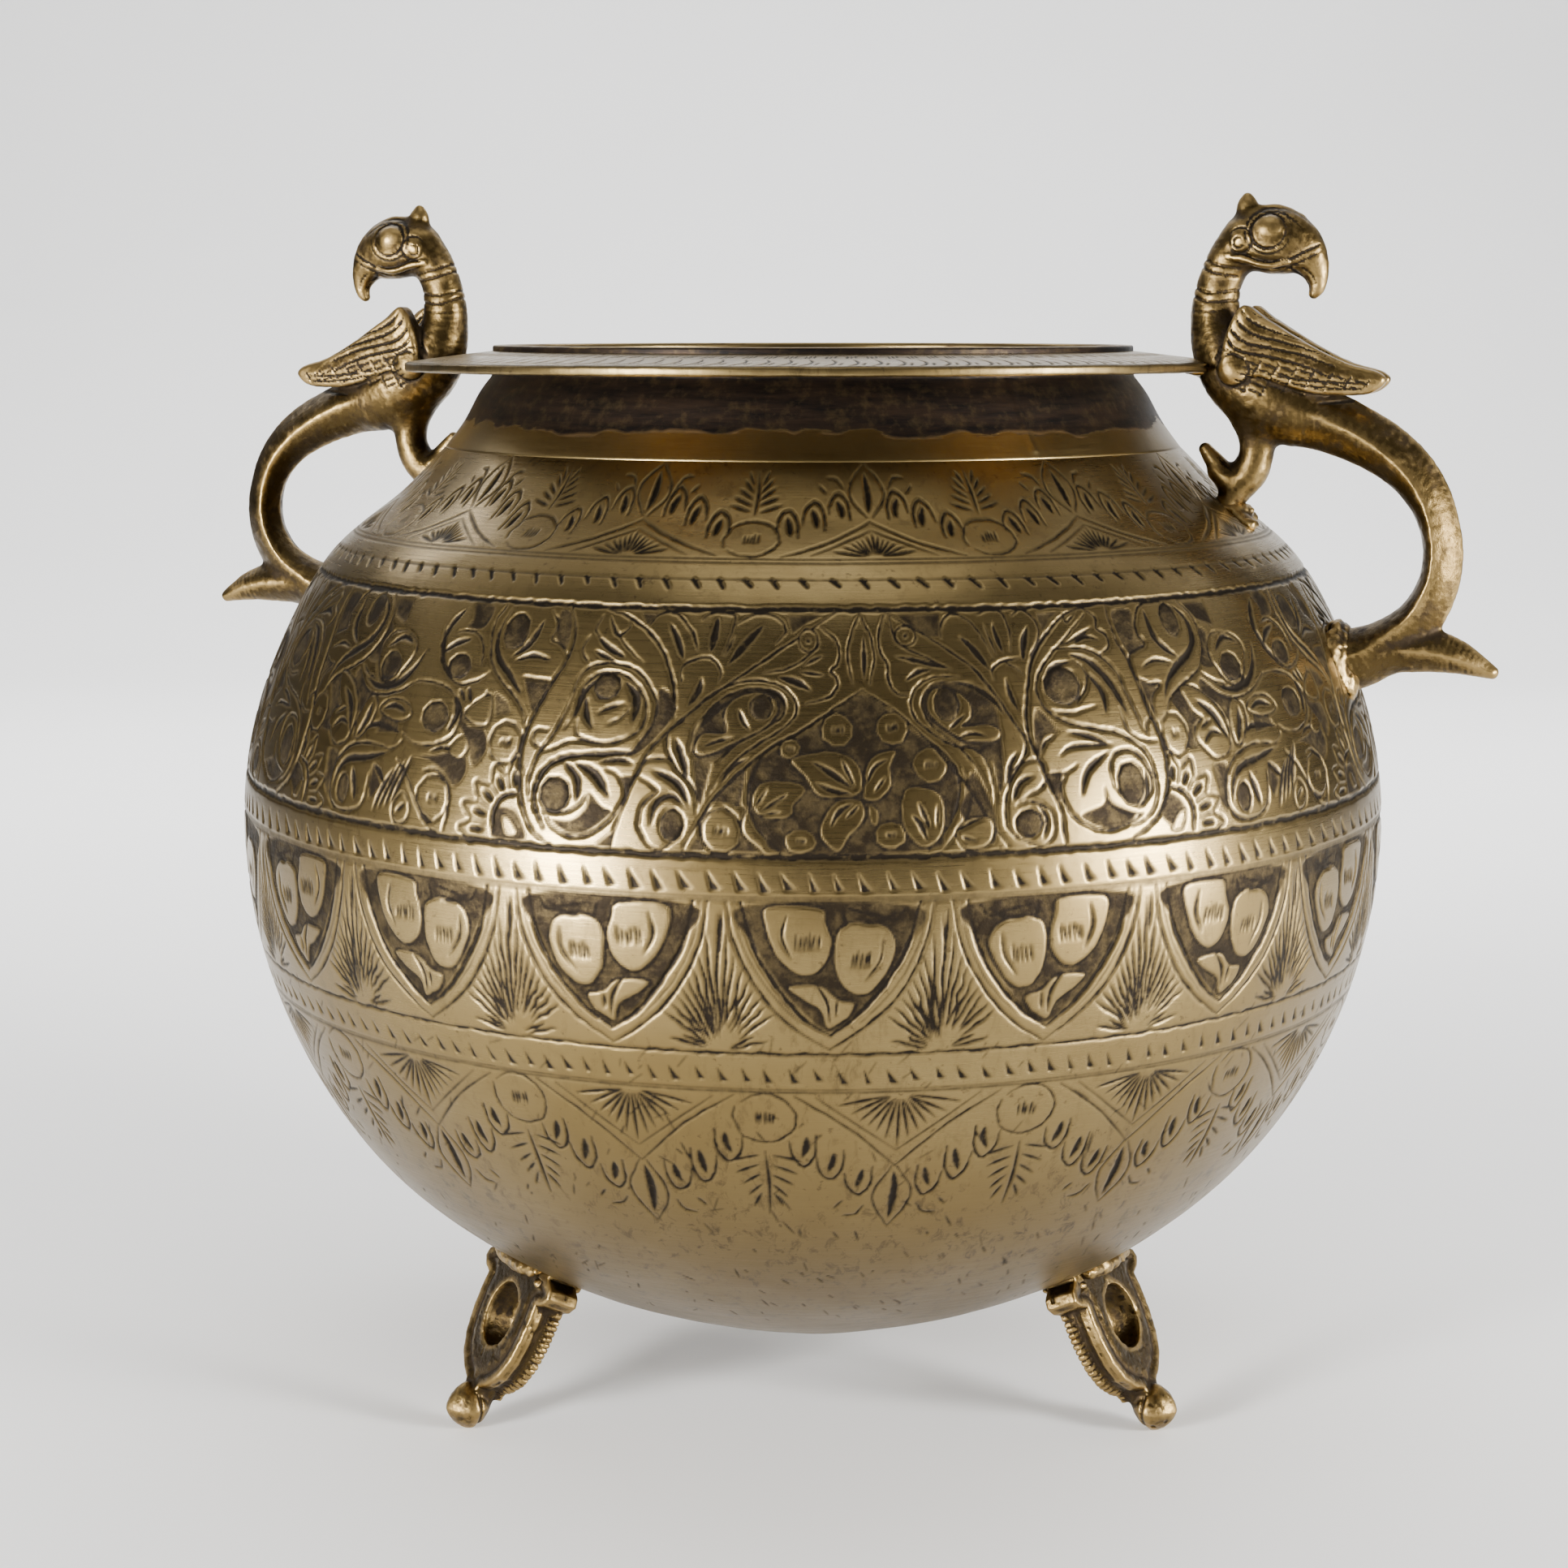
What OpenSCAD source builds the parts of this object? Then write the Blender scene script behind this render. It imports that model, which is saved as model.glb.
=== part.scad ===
// Globe-shaped brass pot on three cast feet, with a neck collar, a flat rim
// flange and two cast bird handles brazed on opposite sides.
// Millimetres. +Z up, origin on the standing surface on the pot's axis, handles along X.

/* [Bowl] */
// Greatest outside diameter of the globe
body_d = 300; // [290:1:304]
// Thickness of the raised sheet
wall = 2; // [1.6:0.1:2.6]
// Straight steps between two profile points
profile_steps = 4; // [3:1:6]

/* [Neck and rim] */
// Inside diameter of the mouth
mouth_d = 163; // [158:1:164]
// Height of the lip above the standing surface
lip_z = 278.5; // [277.8:0.1:280]
// Outside diameter of the rim flange
flange_d = 212; // [206:1:214]
// Thickness of the rim flange
flange_t = 2.4; // [1.8:0.1:2.6]

/* [Bird handles] */
// How far the tail of the left casting sits higher than the right one
tail_lift_left = 8; // [0:0.5:9]
// How far the tail of the right casting sits higher
tail_lift_right = 0; // [0:0.5:9]
// Half thickness of the tail grip across the handle
grip_half = 6; // [5:0.25:7]

/* [Feet] */
// Direction of the front right foot, degrees from +X
foot_right_az = -11; // [-20:1:0]
// Direction of the front left foot
foot_left_az = -132; // [-140:1:-120]
// Direction of the back foot
foot_back_az = 108; // [98:1:118]
// Diameter of the eye through each foot
foot_eye_d = 15.5; // [12:0.5:17]
// Thickness of a foot casting
foot_t = 9; // [7:0.5:10]
// Lean of a foot from upright, top inwards
foot_lean = 26; // [22:1:28]

/* [Hidden] */

k = body_d / 300;
shift = (body_d - 300) / 2;
mouth_r = mouth_d / 2;
lip_r = mouth_r + wall;
// Outside profile of the globe, from the bottom centre to the neck joint: [radius, height]
BODY = [[0, 15], [27, 18], [53, 27], [77, 37.4], [99.5, 51.5], [119, 69.5], [134, 91.5],
    [144.5, 117], [149.6, 144], [149, 171], [141.5, 197.5], [127, 224.3], [107.5, 241], [96, 252.5]];
// Outside profile of the neck above that joint, to the foot of the straight lip
NECK = [[96, 252.5], [91, 259.3], [87.3, 266], [mouth_r + wall + 0.5, 270.5], [mouth_r + wall, 272]];

function seg(a, b, c, d, t) = 0.5 * ((2 * b) + (c - a) * t + (2 * a - 5 * b + 4 * c - d) * t * t
    + (3 * b - a - 3 * c + d) * t * t * t);
function at(P, i) = P[max(0, min(len(P) - 1, i))];
function ends(P) = concat([2 * P[0] - P[1]], P, [2 * P[len(P) - 1] - P[len(P) - 2]]);
// Smooth curve through the points of P, n steps between neighbours
function curve(P, n) = let(Q = ends(P), m = len(P))
    concat([for (i = [0:m - 2]) for (j = [0:n - 1]) seg(Q[i], Q[i + 1], Q[i + 2], Q[i + 3], j / n)], [P[m - 1]]);
function unit(v) = v / max(norm(v), 1e-9);
// The same curve moved sideways by w towards the axis side
function inset(C, w) = [for (i = [0:len(C) - 1])
    let(t = unit(at(C, i + 1) - at(C, i - 1)), n = [-t[1], t[0]]) [max(0, C[i][0] + n[0] * w), C[i][1] + n[1] * w]];
function rev(P) = [for (i = [len(P) - 1:-1:0]) P[i]];
function wide(P) = [for (p = P) [p[0] * k, p[1]]];

body_curve = let(C = curve(BODY, profile_steps)) wide([for (i = [0:len(C) - 1]) [max(0, C[i][0]), i == 0 ? BODY[0][1] : C[i][1]]]);
// The start of the globe is flat on the axis
body_out = concat([[0, BODY[0][1]]], [for (i = [1:len(body_curve) - 1]) body_curve[i]]);
body_in = concat([[0, BODY[0][1] + wall]], [for (i = [1:len(body_out) - 1]) inset(body_out, wall)[i]]);
neck_out = concat(curve([for (p = NECK) [min(p[0] * (p[0] > 90 ? k : 1), 110), p[1]]], 3));
neck_in = inset(neck_out, wall);

module body_outer(n = 180) {
    rotate_extrude($fn = n) polygon(concat(body_out, [[0, body_out[len(body_out) - 1][1]]]));
}
module neck_outer(n = 180) {
    rotate_extrude($fn = n) polygon(concat([[0, neck_out[0][1]]], neck_out, [[lip_r, lip_z], [0, lip_z]]));
}
flange_r = flange_d / 2;
flange_in_z = 277;
flange_out_z = 274.4;
module flange_ring(n = 180, inner = 0) {
    rotate_extrude($fn = n) polygon([[inner, flange_in_z - flange_t], [inner, flange_in_z],
        [flange_r - 0.6, flange_out_z + 0.07], [flange_r, flange_out_z - 0.6],
        [flange_r, flange_out_z - flange_t + 0.6], [flange_r - 0.6, flange_out_z - flange_t + 0.07]]);
}

module body_shell() {
    color([0.50, 0.42, 0.25])
    rotate_extrude($fn = 180) polygon(concat(body_out, rev(body_in)));
}

module neck_collar() {
    color([0.22, 0.16, 0.11])
    rotate_extrude($fn = 180) polygon(concat(neck_out, [[lip_r, lip_z], [mouth_r, lip_z], [mouth_r, 271.5]],
        [for (i = [len(neck_in) - 3:-1:1]) [max(mouth_r, neck_in[i][0]), neck_in[i][1]]], [body_in[len(body_in) - 1]]));
}

module rim_flange() {
    color([0.55, 0.45, 0.27]) flange_ring(180, lip_r);
}

module rim_braze() {
    color([0.42, 0.33, 0.18])
    rotate_extrude($fn = 180) polygon([[lip_r, flange_in_z - flange_t], [lip_r, 272.05],
        [lip_r + 3, flange_in_z - flange_t - 3 * (flange_in_z - flange_out_z) / (flange_r - lip_r)]]);
}

// One tube of changing section: every point is [x, y, z, half height in the XZ plane, half width along Y].
// sq above 1 pinches the section towards a diamond.
module tube(P, n = 16, m = 4, sq = 1) {
    C = curve(P, m);
    last = len(C) - 1;
    pts = [for (i = [0:last])
        let(a = at(C, i - 1), b = at(C, i + 1), t = unit([b[0] - a[0], b[2] - a[2]]), s = [-t[1], t[0]])
        for (j = [0:n - 1]) let(w = 360 * j / n, c = sign(cos(w)) * pow(abs(cos(w)), sq), d = sign(sin(w)) * pow(abs(sin(w)), sq))
            [C[i][0] + s[0] * c * C[i][3], C[i][1] + d * C[i][4], C[i][2] + s[1] * c * C[i][3]]];
    polyhedron(points = pts, faces = concat(
        [[for (j = [n - 1:-1:0]) j]],
        [[for (j = [0:n - 1]) last * n + j]],
        [for (i = [0:last - 1]) for (j = [0:n - 1]) [i * n + j, i * n + (j + 1) % n, (i + 1) * n + (j + 1) % n, (i + 1) * n + j]]));
}

// How far a point at height z is lifted when the tail end is lifted by l
function up(z, l) = l * max(0, min(1, (270 - z) / 70));
function lifted(P, l) = [for (p = P) [p[0] + shift, p[1], p[2] + up(p[2], l), p[3], p[4]]];

// Neck, breast, body and tail grip in one run
BIRD = [[112.5, 0, 303, 6.2, 6], [108, 0, 296, 5.6, 5.6], [106, 0, 289, 5.8, 5.8], [106.8, 0, 282, 7, 7],
    [110.5, 0, 274.5, 10, 9.5], [119, 0, 267.5, 11.5, 10], [130, 0, 262.8, 9, 8], [140, 0, 258.7, 7.3, 6.8],
    [150, 0, 253, 6.4, 6.2], [158, 0, 245.5, 5.6, 6], [162.6, 0, 237, 5, 6], [163.8, 0, 228, 4.8, 6],
    [162.3, 0, 218, 5, 6], [157.5, 0, 209.5, 5.8, 6.5], [150, 0, 203.5, 7, 7.2], [140, 0, 200, 8.2, 8],
    [130, 0, 198.5, 8.6, 8.4]];
SPUR = [[152, 0, 203.5, 5, 5.5], [160, 0, 204, 5.6, 5], [167, 0, 202.6, 4.4, 4.2], [173, 0, 200.4, 2.8, 3.2],
    [178, 0, 198.6, 0.9, 1.4]];
LEG = [[117, 0, 262, 6, 5.5], [117.4, 0, 253, 4.3, 4.4], [116, 0, 247.5, 4.6, 4.2], [112.4, 0, 242.6, 4.2, 4.2],
    [109.8, 0, 238, 3.2, 4.4], [108, 0, 233, 3.4, 4.6]];
CLAW = [[112, 0, 243.5, 3.2, 3], [109.3, 0, 246.4, 3, 2.8], [106.4, 0, 250, 2.2, 2.3], [104, 0, 253.4, 1.1, 1.4]];
BEAK = [[121, 0, 304.5, 7.5, 6.5], [127, 0, 302.5, 5.6, 5], [130, 0, 298, 3.6, 3.4], [131.2, 0, 293.5, 2.2, 2],
    [130.6, 0, 290.6, 0.9, 0.9]];
WING = [[109.5, 7, 273.5, 2.4, 2.2], [113.5, 8, 276, 7, 3.6], [122, 8.2, 276, 7.6, 4], [132, 7, 272.6, 5.6, 3.6],
    [142, 5.4, 270, 3.6, 2.8], [149, 4, 270.5, 1, 1.2]];

module bird(l) {
    tube(lifted([for (p = BIRD) [p[0], p[1], p[2], p[3], p[2] < 250 ? p[4] * grip_half / 6 : p[4]]], l), 16, 3, 1.15);
    tube(lifted(SPUR, l), 12, 3, 1.2);
    tube(lifted(LEG, 0), 12, 2);
    tube(lifted(CLAW, 0), 10, 2);
    tube(lifted(BEAK, 0), 12, 3);
    for (s = [-1, 1]) {
        tube(lifted([for (p = WING) [p[0], p[1] * s, p[2], p[3], p[4]]], 0), 12, 3);
        translate([119.5 + shift, s * 5.6, 305.8]) sphere(r = 3.4, $fn = 24);
        translate([112.6 + shift, s * 5, 304.2]) sphere(r = 2.6, $fn = 20);
    }
    translate([118.5 + shift, 0, 304.6]) scale([1.12, 0.88, 1]) sphere(r = 8.3, $fn = 28);
    tube(lifted([[113.5, 0, 309, 3.6, 3], [113.4, 0, 312.5, 2.4, 2.2], [113.4, 0, 315.6, 0.9, 1]], 0), 10, 2);
}

// A sculpted shape is kept as one blended mesh
module sculpted() { resize([0, 0, 0]) union() { children(); } }

// side = 1 faces +X, side = -1 faces -X
module bird_casting(side, l) {
    rotate([0, 0, side > 0 ? 0 : 180])
    sculpted() difference() {
        bird(l);
        body_outer();
        flange_ring(180, 0);
    }
}
module bird_handle_right() { color([0.62, 0.47, 0.22]) bird_casting(1, tail_lift_right); }
module bird_handle_left() { color([0.62, 0.47, 0.22]) bird_casting(-1, tail_lift_left); }

// A mound of braze: an ellipsoid with the pot and the casting taken out of it
module mound(c, r, s) { translate(c) scale(s) sphere(r = r, $fn = 24); }

module breast_braze(side) {
    rotate([0, 0, side > 0 ? 0 : 180])
    sculpted() difference() {
        mound([102 + shift, 0, 272.6], 6, [0.8, 1.15, 0.35]);
        bird(0);
        flange_ring(180, 0);
        body_outer();
    }
}
module breast_braze_right() { color([0.45, 0.36, 0.2]) breast_braze(1); }
module breast_braze_left() { color([0.45, 0.36, 0.2]) breast_braze(-1); }

module leg_braze(side) {
    rotate([0, 0, side > 0 ? 0 : 180])
    sculpted() difference() {
        mound([110.6 + shift, 0, 236.6], 6.4, [1, 1, 0.5]);
        bird(0);
        body_outer();
    }
}
module leg_braze_right() { color([0.58, 0.5, 0.34]) leg_braze(1); }
module leg_braze_left() { color([0.58, 0.5, 0.34]) leg_braze(-1); }

module tail_braze(side, l) {
    rotate([0, 0, side > 0 ? 0 : 180])
    sculpted() difference() {
        mound([138.5 + shift, 0, 199.5 + up(200, l)], 11.5, [0.5, 0.92, 0.98]);
        bird(l);
        body_outer();
    }
}
module tail_braze_right() { color([0.4, 0.3, 0.16]) tail_braze(1, tail_lift_right); }
module tail_braze_left() { color([0.4, 0.3, 0.16]) tail_braze(-1, tail_lift_left); }

// Half outline of a foot: [across, up along the foot]
FOOT = [[3.6, 9.5], [4.2, 11.8], [7.4, 13.2], [11.4, 16.6], [14.2, 21.6], [15.5, 28], [15.7, 33.6], [15.2, 37.8],
    [18.4, 38.9], [20.2, 41.2], [19, 43.6], [16, 45.6], [15, 54]];
foot_r = 102.5;
module foot_solid(az) {
    rotate([0, 0, az]) translate([foot_r + shift, 0, 0]) {
        rotate([0, -foot_lean, 0]) difference() {
            // flat casting with its edge bead
            rotate([90, 0, 90]) translate([0, 0, -foot_t / 2]) linear_extrude(foot_t)
                polygon(concat(FOOT, [for (p = rev(FOOT)) [-p[0], p[1]]]));
            translate([-foot_t, 0, 30.8]) rotate([0, 90, 0]) cylinder(d = foot_eye_d, h = 2 * foot_t, $fn = 64);
        }
        // toe bead with a flat sole
        rotate_extrude($fn = 32) polygon([[0, 0], [2.6, 0], [4.6, 1.6], [6.2, 5.8], [5, 9], [3.4, 11.6], [0, 12.4]]);
    }
}
module foot_casting(az) {
    difference() {
        foot_solid(az);
        body_outer();
    }
}
module foot_right() { color([0.5, 0.4, 0.2]) foot_casting(foot_right_az); }
module foot_left() { color([0.5, 0.4, 0.2]) foot_casting(foot_left_az); }
module foot_back() { color([0.5, 0.4, 0.2]) foot_casting(foot_back_az); }

module foot_braze(az) {
    sculpted() difference() {
        for (p = [[88.2, 43.4], [76.2, 36.6]])
            rotate([0, 0, az]) translate([p[0] + shift, 0, p[1]]) rotate([0, -30, 0]) scale([0.28, 1.15, 0.2]) sphere(r = 12, $fn = 28);
        foot_solid(az);
        body_outer();
    }
}
module foot_braze_right() { color([0.35, 0.28, 0.17]) foot_braze(foot_right_az); }
module foot_braze_left() { color([0.35, 0.28, 0.17]) foot_braze(foot_left_az); }
module foot_braze_back() { color([0.35, 0.28, 0.17]) foot_braze(foot_back_az); }

body_shell();
neck_collar();
rim_flange();
rim_braze();
bird_handle_right();
bird_handle_left();
breast_braze_right();
breast_braze_left();
leg_braze_right();
leg_braze_left();
tail_braze_right();
tail_braze_left();
foot_right();
foot_left();
foot_back();
foot_braze_right();
foot_braze_left();
foot_braze_back();
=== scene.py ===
import bpy, math, random
import numpy as np
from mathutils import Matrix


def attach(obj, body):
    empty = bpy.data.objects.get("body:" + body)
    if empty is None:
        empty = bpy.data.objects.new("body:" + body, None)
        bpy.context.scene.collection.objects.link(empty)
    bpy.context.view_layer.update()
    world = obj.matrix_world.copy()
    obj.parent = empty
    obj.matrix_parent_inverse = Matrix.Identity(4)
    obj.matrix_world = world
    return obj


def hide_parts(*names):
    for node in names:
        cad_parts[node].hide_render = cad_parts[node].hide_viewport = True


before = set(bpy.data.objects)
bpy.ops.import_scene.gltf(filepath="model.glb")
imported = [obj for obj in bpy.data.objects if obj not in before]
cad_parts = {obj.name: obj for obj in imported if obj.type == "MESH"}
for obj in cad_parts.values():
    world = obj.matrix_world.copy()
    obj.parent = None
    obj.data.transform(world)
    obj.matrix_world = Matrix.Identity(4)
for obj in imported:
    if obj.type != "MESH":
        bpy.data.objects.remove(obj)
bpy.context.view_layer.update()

import openvdb as vdb
from mathutils import Vector

MM = 0.001
VIEW = math.radians(19.0)      # the camera stands 19 degrees round from -Y towards +X
rng = np.random.default_rng(7)

# ------------------------------------------------------------------ profile
BODY = [(0, 15), (27, 18), (53, 27), (77, 37.4), (99.5, 51.5), (119, 69.5), (134, 91.5), (144.5, 117),
        (149.6, 144), (149, 171), (141.5, 197.5), (127, 224.3), (107.5, 241), (96, 252.5)]
NECK = [(96, 252.5), (91, 259.3), (87.3, 266), (84, 270.5), (83.5, 272)]


def curve(P, n):
    P = np.array(P, float)
    Q = np.vstack([2 * P[0] - P[1], P, 2 * P[-1] - P[-2]])
    t = np.arange(n)[:, None] / n
    out = [0.5 * (2 * b + (c - a) * t + (2 * a - 5 * b + 4 * c - d) * t ** 2 + (3 * b - a - 3 * c + d) * t ** 3)
           for a, b, c, d in zip(Q[:-3], Q[1:-2], Q[2:-1], Q[3:])]
    return np.vstack(out + [P[-1:]])


PROF = curve(BODY, 48)
PROF[:, 0] = np.maximum(PROF[:, 0], 0)
PL = np.r_[0, np.cumsum(np.hypot(*np.diff(PROF, axis=0).T))]   # length along the profile, mm
TOP = PL[-1]


def prof(s):
    return np.interp(s, PL, PROF[:, 0]), np.interp(s, PL, PROF[:, 1])


def prof_n(s):
    r0, z0 = prof(s - 0.6)
    r1, z1 = prof(s + 0.6)
    tr, tz = r1 - r0, z1 - z0
    n = np.hypot(tr, tz) + 1e-9
    return tz / n, -tr / n      # outward normal in (r, z)


# ------------------------------------------------------------------ mesh helpers
def mesh_object(name, verts, faces, smooth=True, attrs=None, material=None, uv=None):
    me = bpy.data.meshes.new(name)
    verts = np.asarray(verts, np.float32)
    faces = np.asarray(faces, np.int32)
    k = faces.shape[1]
    me.vertices.add(len(verts))
    me.vertices.foreach_set("co", (verts * MM).ravel())
    me.loops.add(faces.size)
    me.loops.foreach_set("vertex_index", faces.ravel())
    me.polygons.add(len(faces))
    me.polygons.foreach_set("loop_start", np.arange(0, faces.size, k, dtype=np.int32))
    me.polygons.foreach_set("loop_total", np.full(len(faces), k, np.int32))
    me.polygons.foreach_set("use_smooth", np.full(len(faces), smooth, bool))
    me.update(calc_edges=True)
    for key, val in (attrs or {}).items():
        a = me.attributes.new(key, "FLOAT", "POINT")
        a.data.foreach_set("value", np.asarray(val, np.float32).ravel())
    if uv is not None:
        lay = me.uv_layers.new(name="OFBake")
        u = np.asarray(uv, np.float32)
        if len(u) != faces.size:
            u = u[faces.ravel()]
        lay.data.foreach_set("uv", u.ravel())
    me.validate()
    ob = bpy.data.objects.new(name, me)
    bpy.context.scene.collection.objects.link(ob)
    if material is not None:
        me.materials.append(material)
    return ob


def grid_faces(nr, nc, wrap=True, flip=False):
    i = np.arange(nr - 1)[:, None]
    j = np.arange(nc if wrap else nc - 1)[None, :]
    j2 = (j + 1) % nc
    f = np.stack([i * nc + j, i * nc + j2, (i + 1) * nc + j2, (i + 1) * nc + j], -1).reshape(-1, 4)
    return f[:, ::-1] if flip else f


def revolve(name, pts, cols=360, material=None, wobble=None, closed=True, attrs=None):
    """A ring: the closed loop pts of (r, z) turned about Z."""
    pts = np.array(pts, float)
    th = np.arange(cols) * 2 * np.pi / cols
    R = np.repeat(pts[:, 0:1], cols, 1)
    Z = np.repeat(pts[:, 1:2], cols, 1)
    if wobble is not None:
        R, Z = wobble(R, Z, th)
    if closed:
        R = np.vstack([R, R[:1]]); Z = np.vstack([Z, Z[:1]])
        n = len(pts)
        f = grid_faces(n + 1, cols)
        f = np.where(f >= n * cols, f - n * cols, f)
        R, Z = R[:n], Z[:n]
    else:
        f = grid_faces(len(pts), cols)
    v = np.stack([R * np.cos(th), R * np.sin(th), Z], -1).reshape(-1, 3)
    return mesh_object(name, v, f, material=material, attrs=attrs)


def smooth_noise(shape, cell, seed, octaves=3, wrap_x=True):
    """Value noise on a grid of rows by columns, about -1 to 1; cell is in grid steps."""
    g = np.random.default_rng(seed)
    out = np.zeros(shape)
    amp, tot = 1.0, 0.0
    for o in range(octaves):
        cy, cx = max(2, int(shape[0] / cell[0])), max(2, int(shape[1] / cell[1]))
        base = g.uniform(-1, 1, (cy + 3, cx))
        if wrap_x:
            base = np.hstack([base, base[:, :2]])
        else:
            base = g.uniform(-1, 1, (cy + 3, cx + 3))
        y = np.linspace(0, cy, shape[0]); x = np.linspace(0, cx, shape[1], endpoint=not wrap_x)
        yi = y.astype(int); xi = x.astype(int)
        fy = (y - yi)[:, None]; fx = (x - xi)[None, :]
        fy = fy * fy * (3 - 2 * fy); fx = fx * fx * (3 - 2 * fx)
        a = base[yi][:, xi]; b = base[yi][:, xi + 1]; c = base[yi + 1][:, xi]; d = base[yi + 1][:, xi + 1]
        out += amp * ((a * (1 - fx) + b * fx) * (1 - fy) + (c * (1 - fx) + d * fx) * fy)
        tot += amp
        amp *= 0.5
        cell = (max(1.0, cell[0] / 2), max(1.0, cell[1] / 2))
    return out / tot


# ------------------------------------------------------------------ drawing on a sheet
class Sheet:
    """A drawing surface in millimetres, x across and y up, that gravers cut into.
    depth is the depth of the cut; dark is how much patina lies in it."""

    def __init__(self, x0, x1, y0, y1, step, wrap=False):
        self.x0, self.y0, self.step, self.wrap = x0, y0, step, wrap
        self.nx = int(round((x1 - x0) / step)); self.ny = int(round((y1 - y0) / step)) + 1
        self.step_x = (x1 - x0) / self.nx if wrap else step
        self.depth = np.zeros((self.ny, self.nx), np.float32)
        self.dark = np.zeros((self.ny, self.nx), np.float32)
        self.ground = np.zeros((self.ny, self.nx), np.float32)

    def _window(self, xa, xb, ya, yb):
        i0 = max(0, int((ya - self.y0) / self.step) - 1); i1 = min(self.ny, int((yb - self.y0) / self.step) + 2)
        j0 = int(math.floor((xa - self.x0) / self.step_x)) - 1; j1 = int(math.ceil((xb - self.x0) / self.step_x)) + 2
        if not self.wrap:
            j0 = max(0, j0); j1 = min(self.nx, j1)
        if i1 <= i0 or j1 <= j0:
            return None
        jj = np.arange(j0, j1)
        X = self.x0 + jj * self.step_x
        Y = self.y0 + np.arange(i0, i1) * self.step
        return slice(i0, i1), (jj % self.nx if self.wrap else jj), X[None, :], Y[:, None]

    def stroke(self, P, w=0.9, d=0.42, taper=(1, 1), dark=1.0, wmid=None, rough=0.0, side=0.0):
        """One graver cut along the points P. w is its full width; taper is the width share at each end;
        side above 0 throws the deepest line to one side, as a tilted graver does."""
        P = np.asarray(P, float)
        L = np.r_[0, np.cumsum(np.hypot(*np.diff(P, axis=0).T))]
        tot = max(L[-1], 1e-6)
        u = L / tot
        if wmid is None:
            W = w * np.interp(u, [0, 0.25, 0.75, 1], [taper[0], 1, 1, taper[1]])
        else:
            W = w + (wmid - w) * np.sin(np.pi * u) ** 0.8
        if rough:
            W = W * (1 + rough * rng.uniform(-1, 1, len(W)))
        for a, b, wa, wb in zip(P[:-1], P[1:], W[:-1], W[1:]):
            m = max(wa, wb) / 2 + self.step
            win = self._window(min(a[0], b[0]) - m, max(a[0], b[0]) + m, min(a[1], b[1]) - m, max(a[1], b[1]) + m)
            if win is None:
                continue
            si, sj, X, Y = win
            dx, dy = b - a
            q = dx * dx + dy * dy + 1e-12
            t = np.clip(((X - a[0]) * dx + (Y - a[1]) * dy) / q, 0, 1)
            px = X - a[0] - t * dx; py = Y - a[1] - t * dy
            dist = np.hypot(px, py)
            ww = (wa + (wb - wa) * t) / 2 + 1e-6
            e = dist / ww
            if side:
                sg = (dx * py - dy * px) / math.sqrt(q) / ww
                e = np.where(sg * side > 0, np.clip(np.abs(sg) * 1.0, 0, 3), np.clip(e * (1 + abs(side)), 0, 3))
                e = np.maximum(e, dist / ww * 0.999)
            v = np.clip(1 - e, 0, 1)
            cut = d * np.minimum(1, ww / (0.5 * max(w, wmid or w)) + 0.15) * v ** 0.8
            self._put(si, sj, cut, np.clip(v * 2.2, 0, 1) * dark)

    def _put(self, si, sj, cut, dk):
        if isinstance(sj, np.ndarray):
            self.depth[si, sj] = np.maximum(self.depth[si, sj], cut)
            self.dark[si, sj] = np.maximum(self.dark[si, sj], dk)

    def line(self, P, w=0.9, d=0.42, n=6, wobble=0.12, closed=False, **kw):
        """A smooth cut through given points, with the small facets a pushed graver leaves."""
        P = np.array(P, float)
        if closed:
            P = np.vstack([P[-1], P, P[0], P[1]])
            C = curve(P, n)[n:-n]
        else:
            C = curve(P, n) if len(P) > 2 else P[0] + (P[-1] - P[0]) * np.linspace(0, 1, n + 1)[:, None]
        if wobble:
            C = C + rng.uniform(-wobble, wobble, C.shape)
        self.stroke(C, w, d, **kw)

    def leafcut(self, P, w=1.5, d=0.5, **kw):
        """A pointed vein cut: narrow at both ends."""
        P = np.array(P, float)
        C = curve(P, 6) if len(P) > 2 else P[0] + (P[-1] - P[0]) * np.linspace(0, 1, 9)[:, None]
        self.stroke(C, 0.25, d, wmid=w, rough=0.14, **kw)

    def wedge(self, x, y, h=4.2, b=2.2, d=0.5, lean=-0.9, flip=1):
        """A triangular notch struck with a corner of the chisel: point up, wide at the base."""
        n = 7
        t = np.linspace(0, 1, n)
        P = np.stack([x + lean * (1 - t) * flip * 1.0, y + h * (0.5 - t) * 1.0], -1)
        W = 0.25 + b * t ** 1.3
        for a, c, wa, wb, k in zip(P[:-1], P[1:], W[:-1], W[1:], t):
            m = b + self.step
            win = self._window(min(a[0], c[0]) - m, max(a[0], c[0]) + m, min(a[1], c[1]) - 0.2, max(a[1], c[1]) + 0.2)
            if win is None:
                continue
            si, sj, X, Y = win
            tt = np.clip((a[1] - Y) / max(a[1] - c[1], 1e-6), -0.05, 1.05)
            inside = (Y <= a[1] + 0.05) & (Y >= c[1] - 0.05)
            cx = a[0] + (c[0] - a[0]) * tt; ww = wa + (wb - wa) * tt
            e = (X - cx) / ww       # 0 at the steep left edge, 1 at the right edge
            v = np.where((e >= -0.12) & (e <= 1) & inside, np.clip(1 - e, 0, 1), 0)
            v = np.where(e < 0, np.clip(1 + e * 8, 0, 1) * inside, v)
            self._put(si, sj, d * (0.35 + 0.65 * (1 - np.abs(tt * 0.6 - 0.45))) * v, np.clip(v * 2.0, 0, 1))

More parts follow.
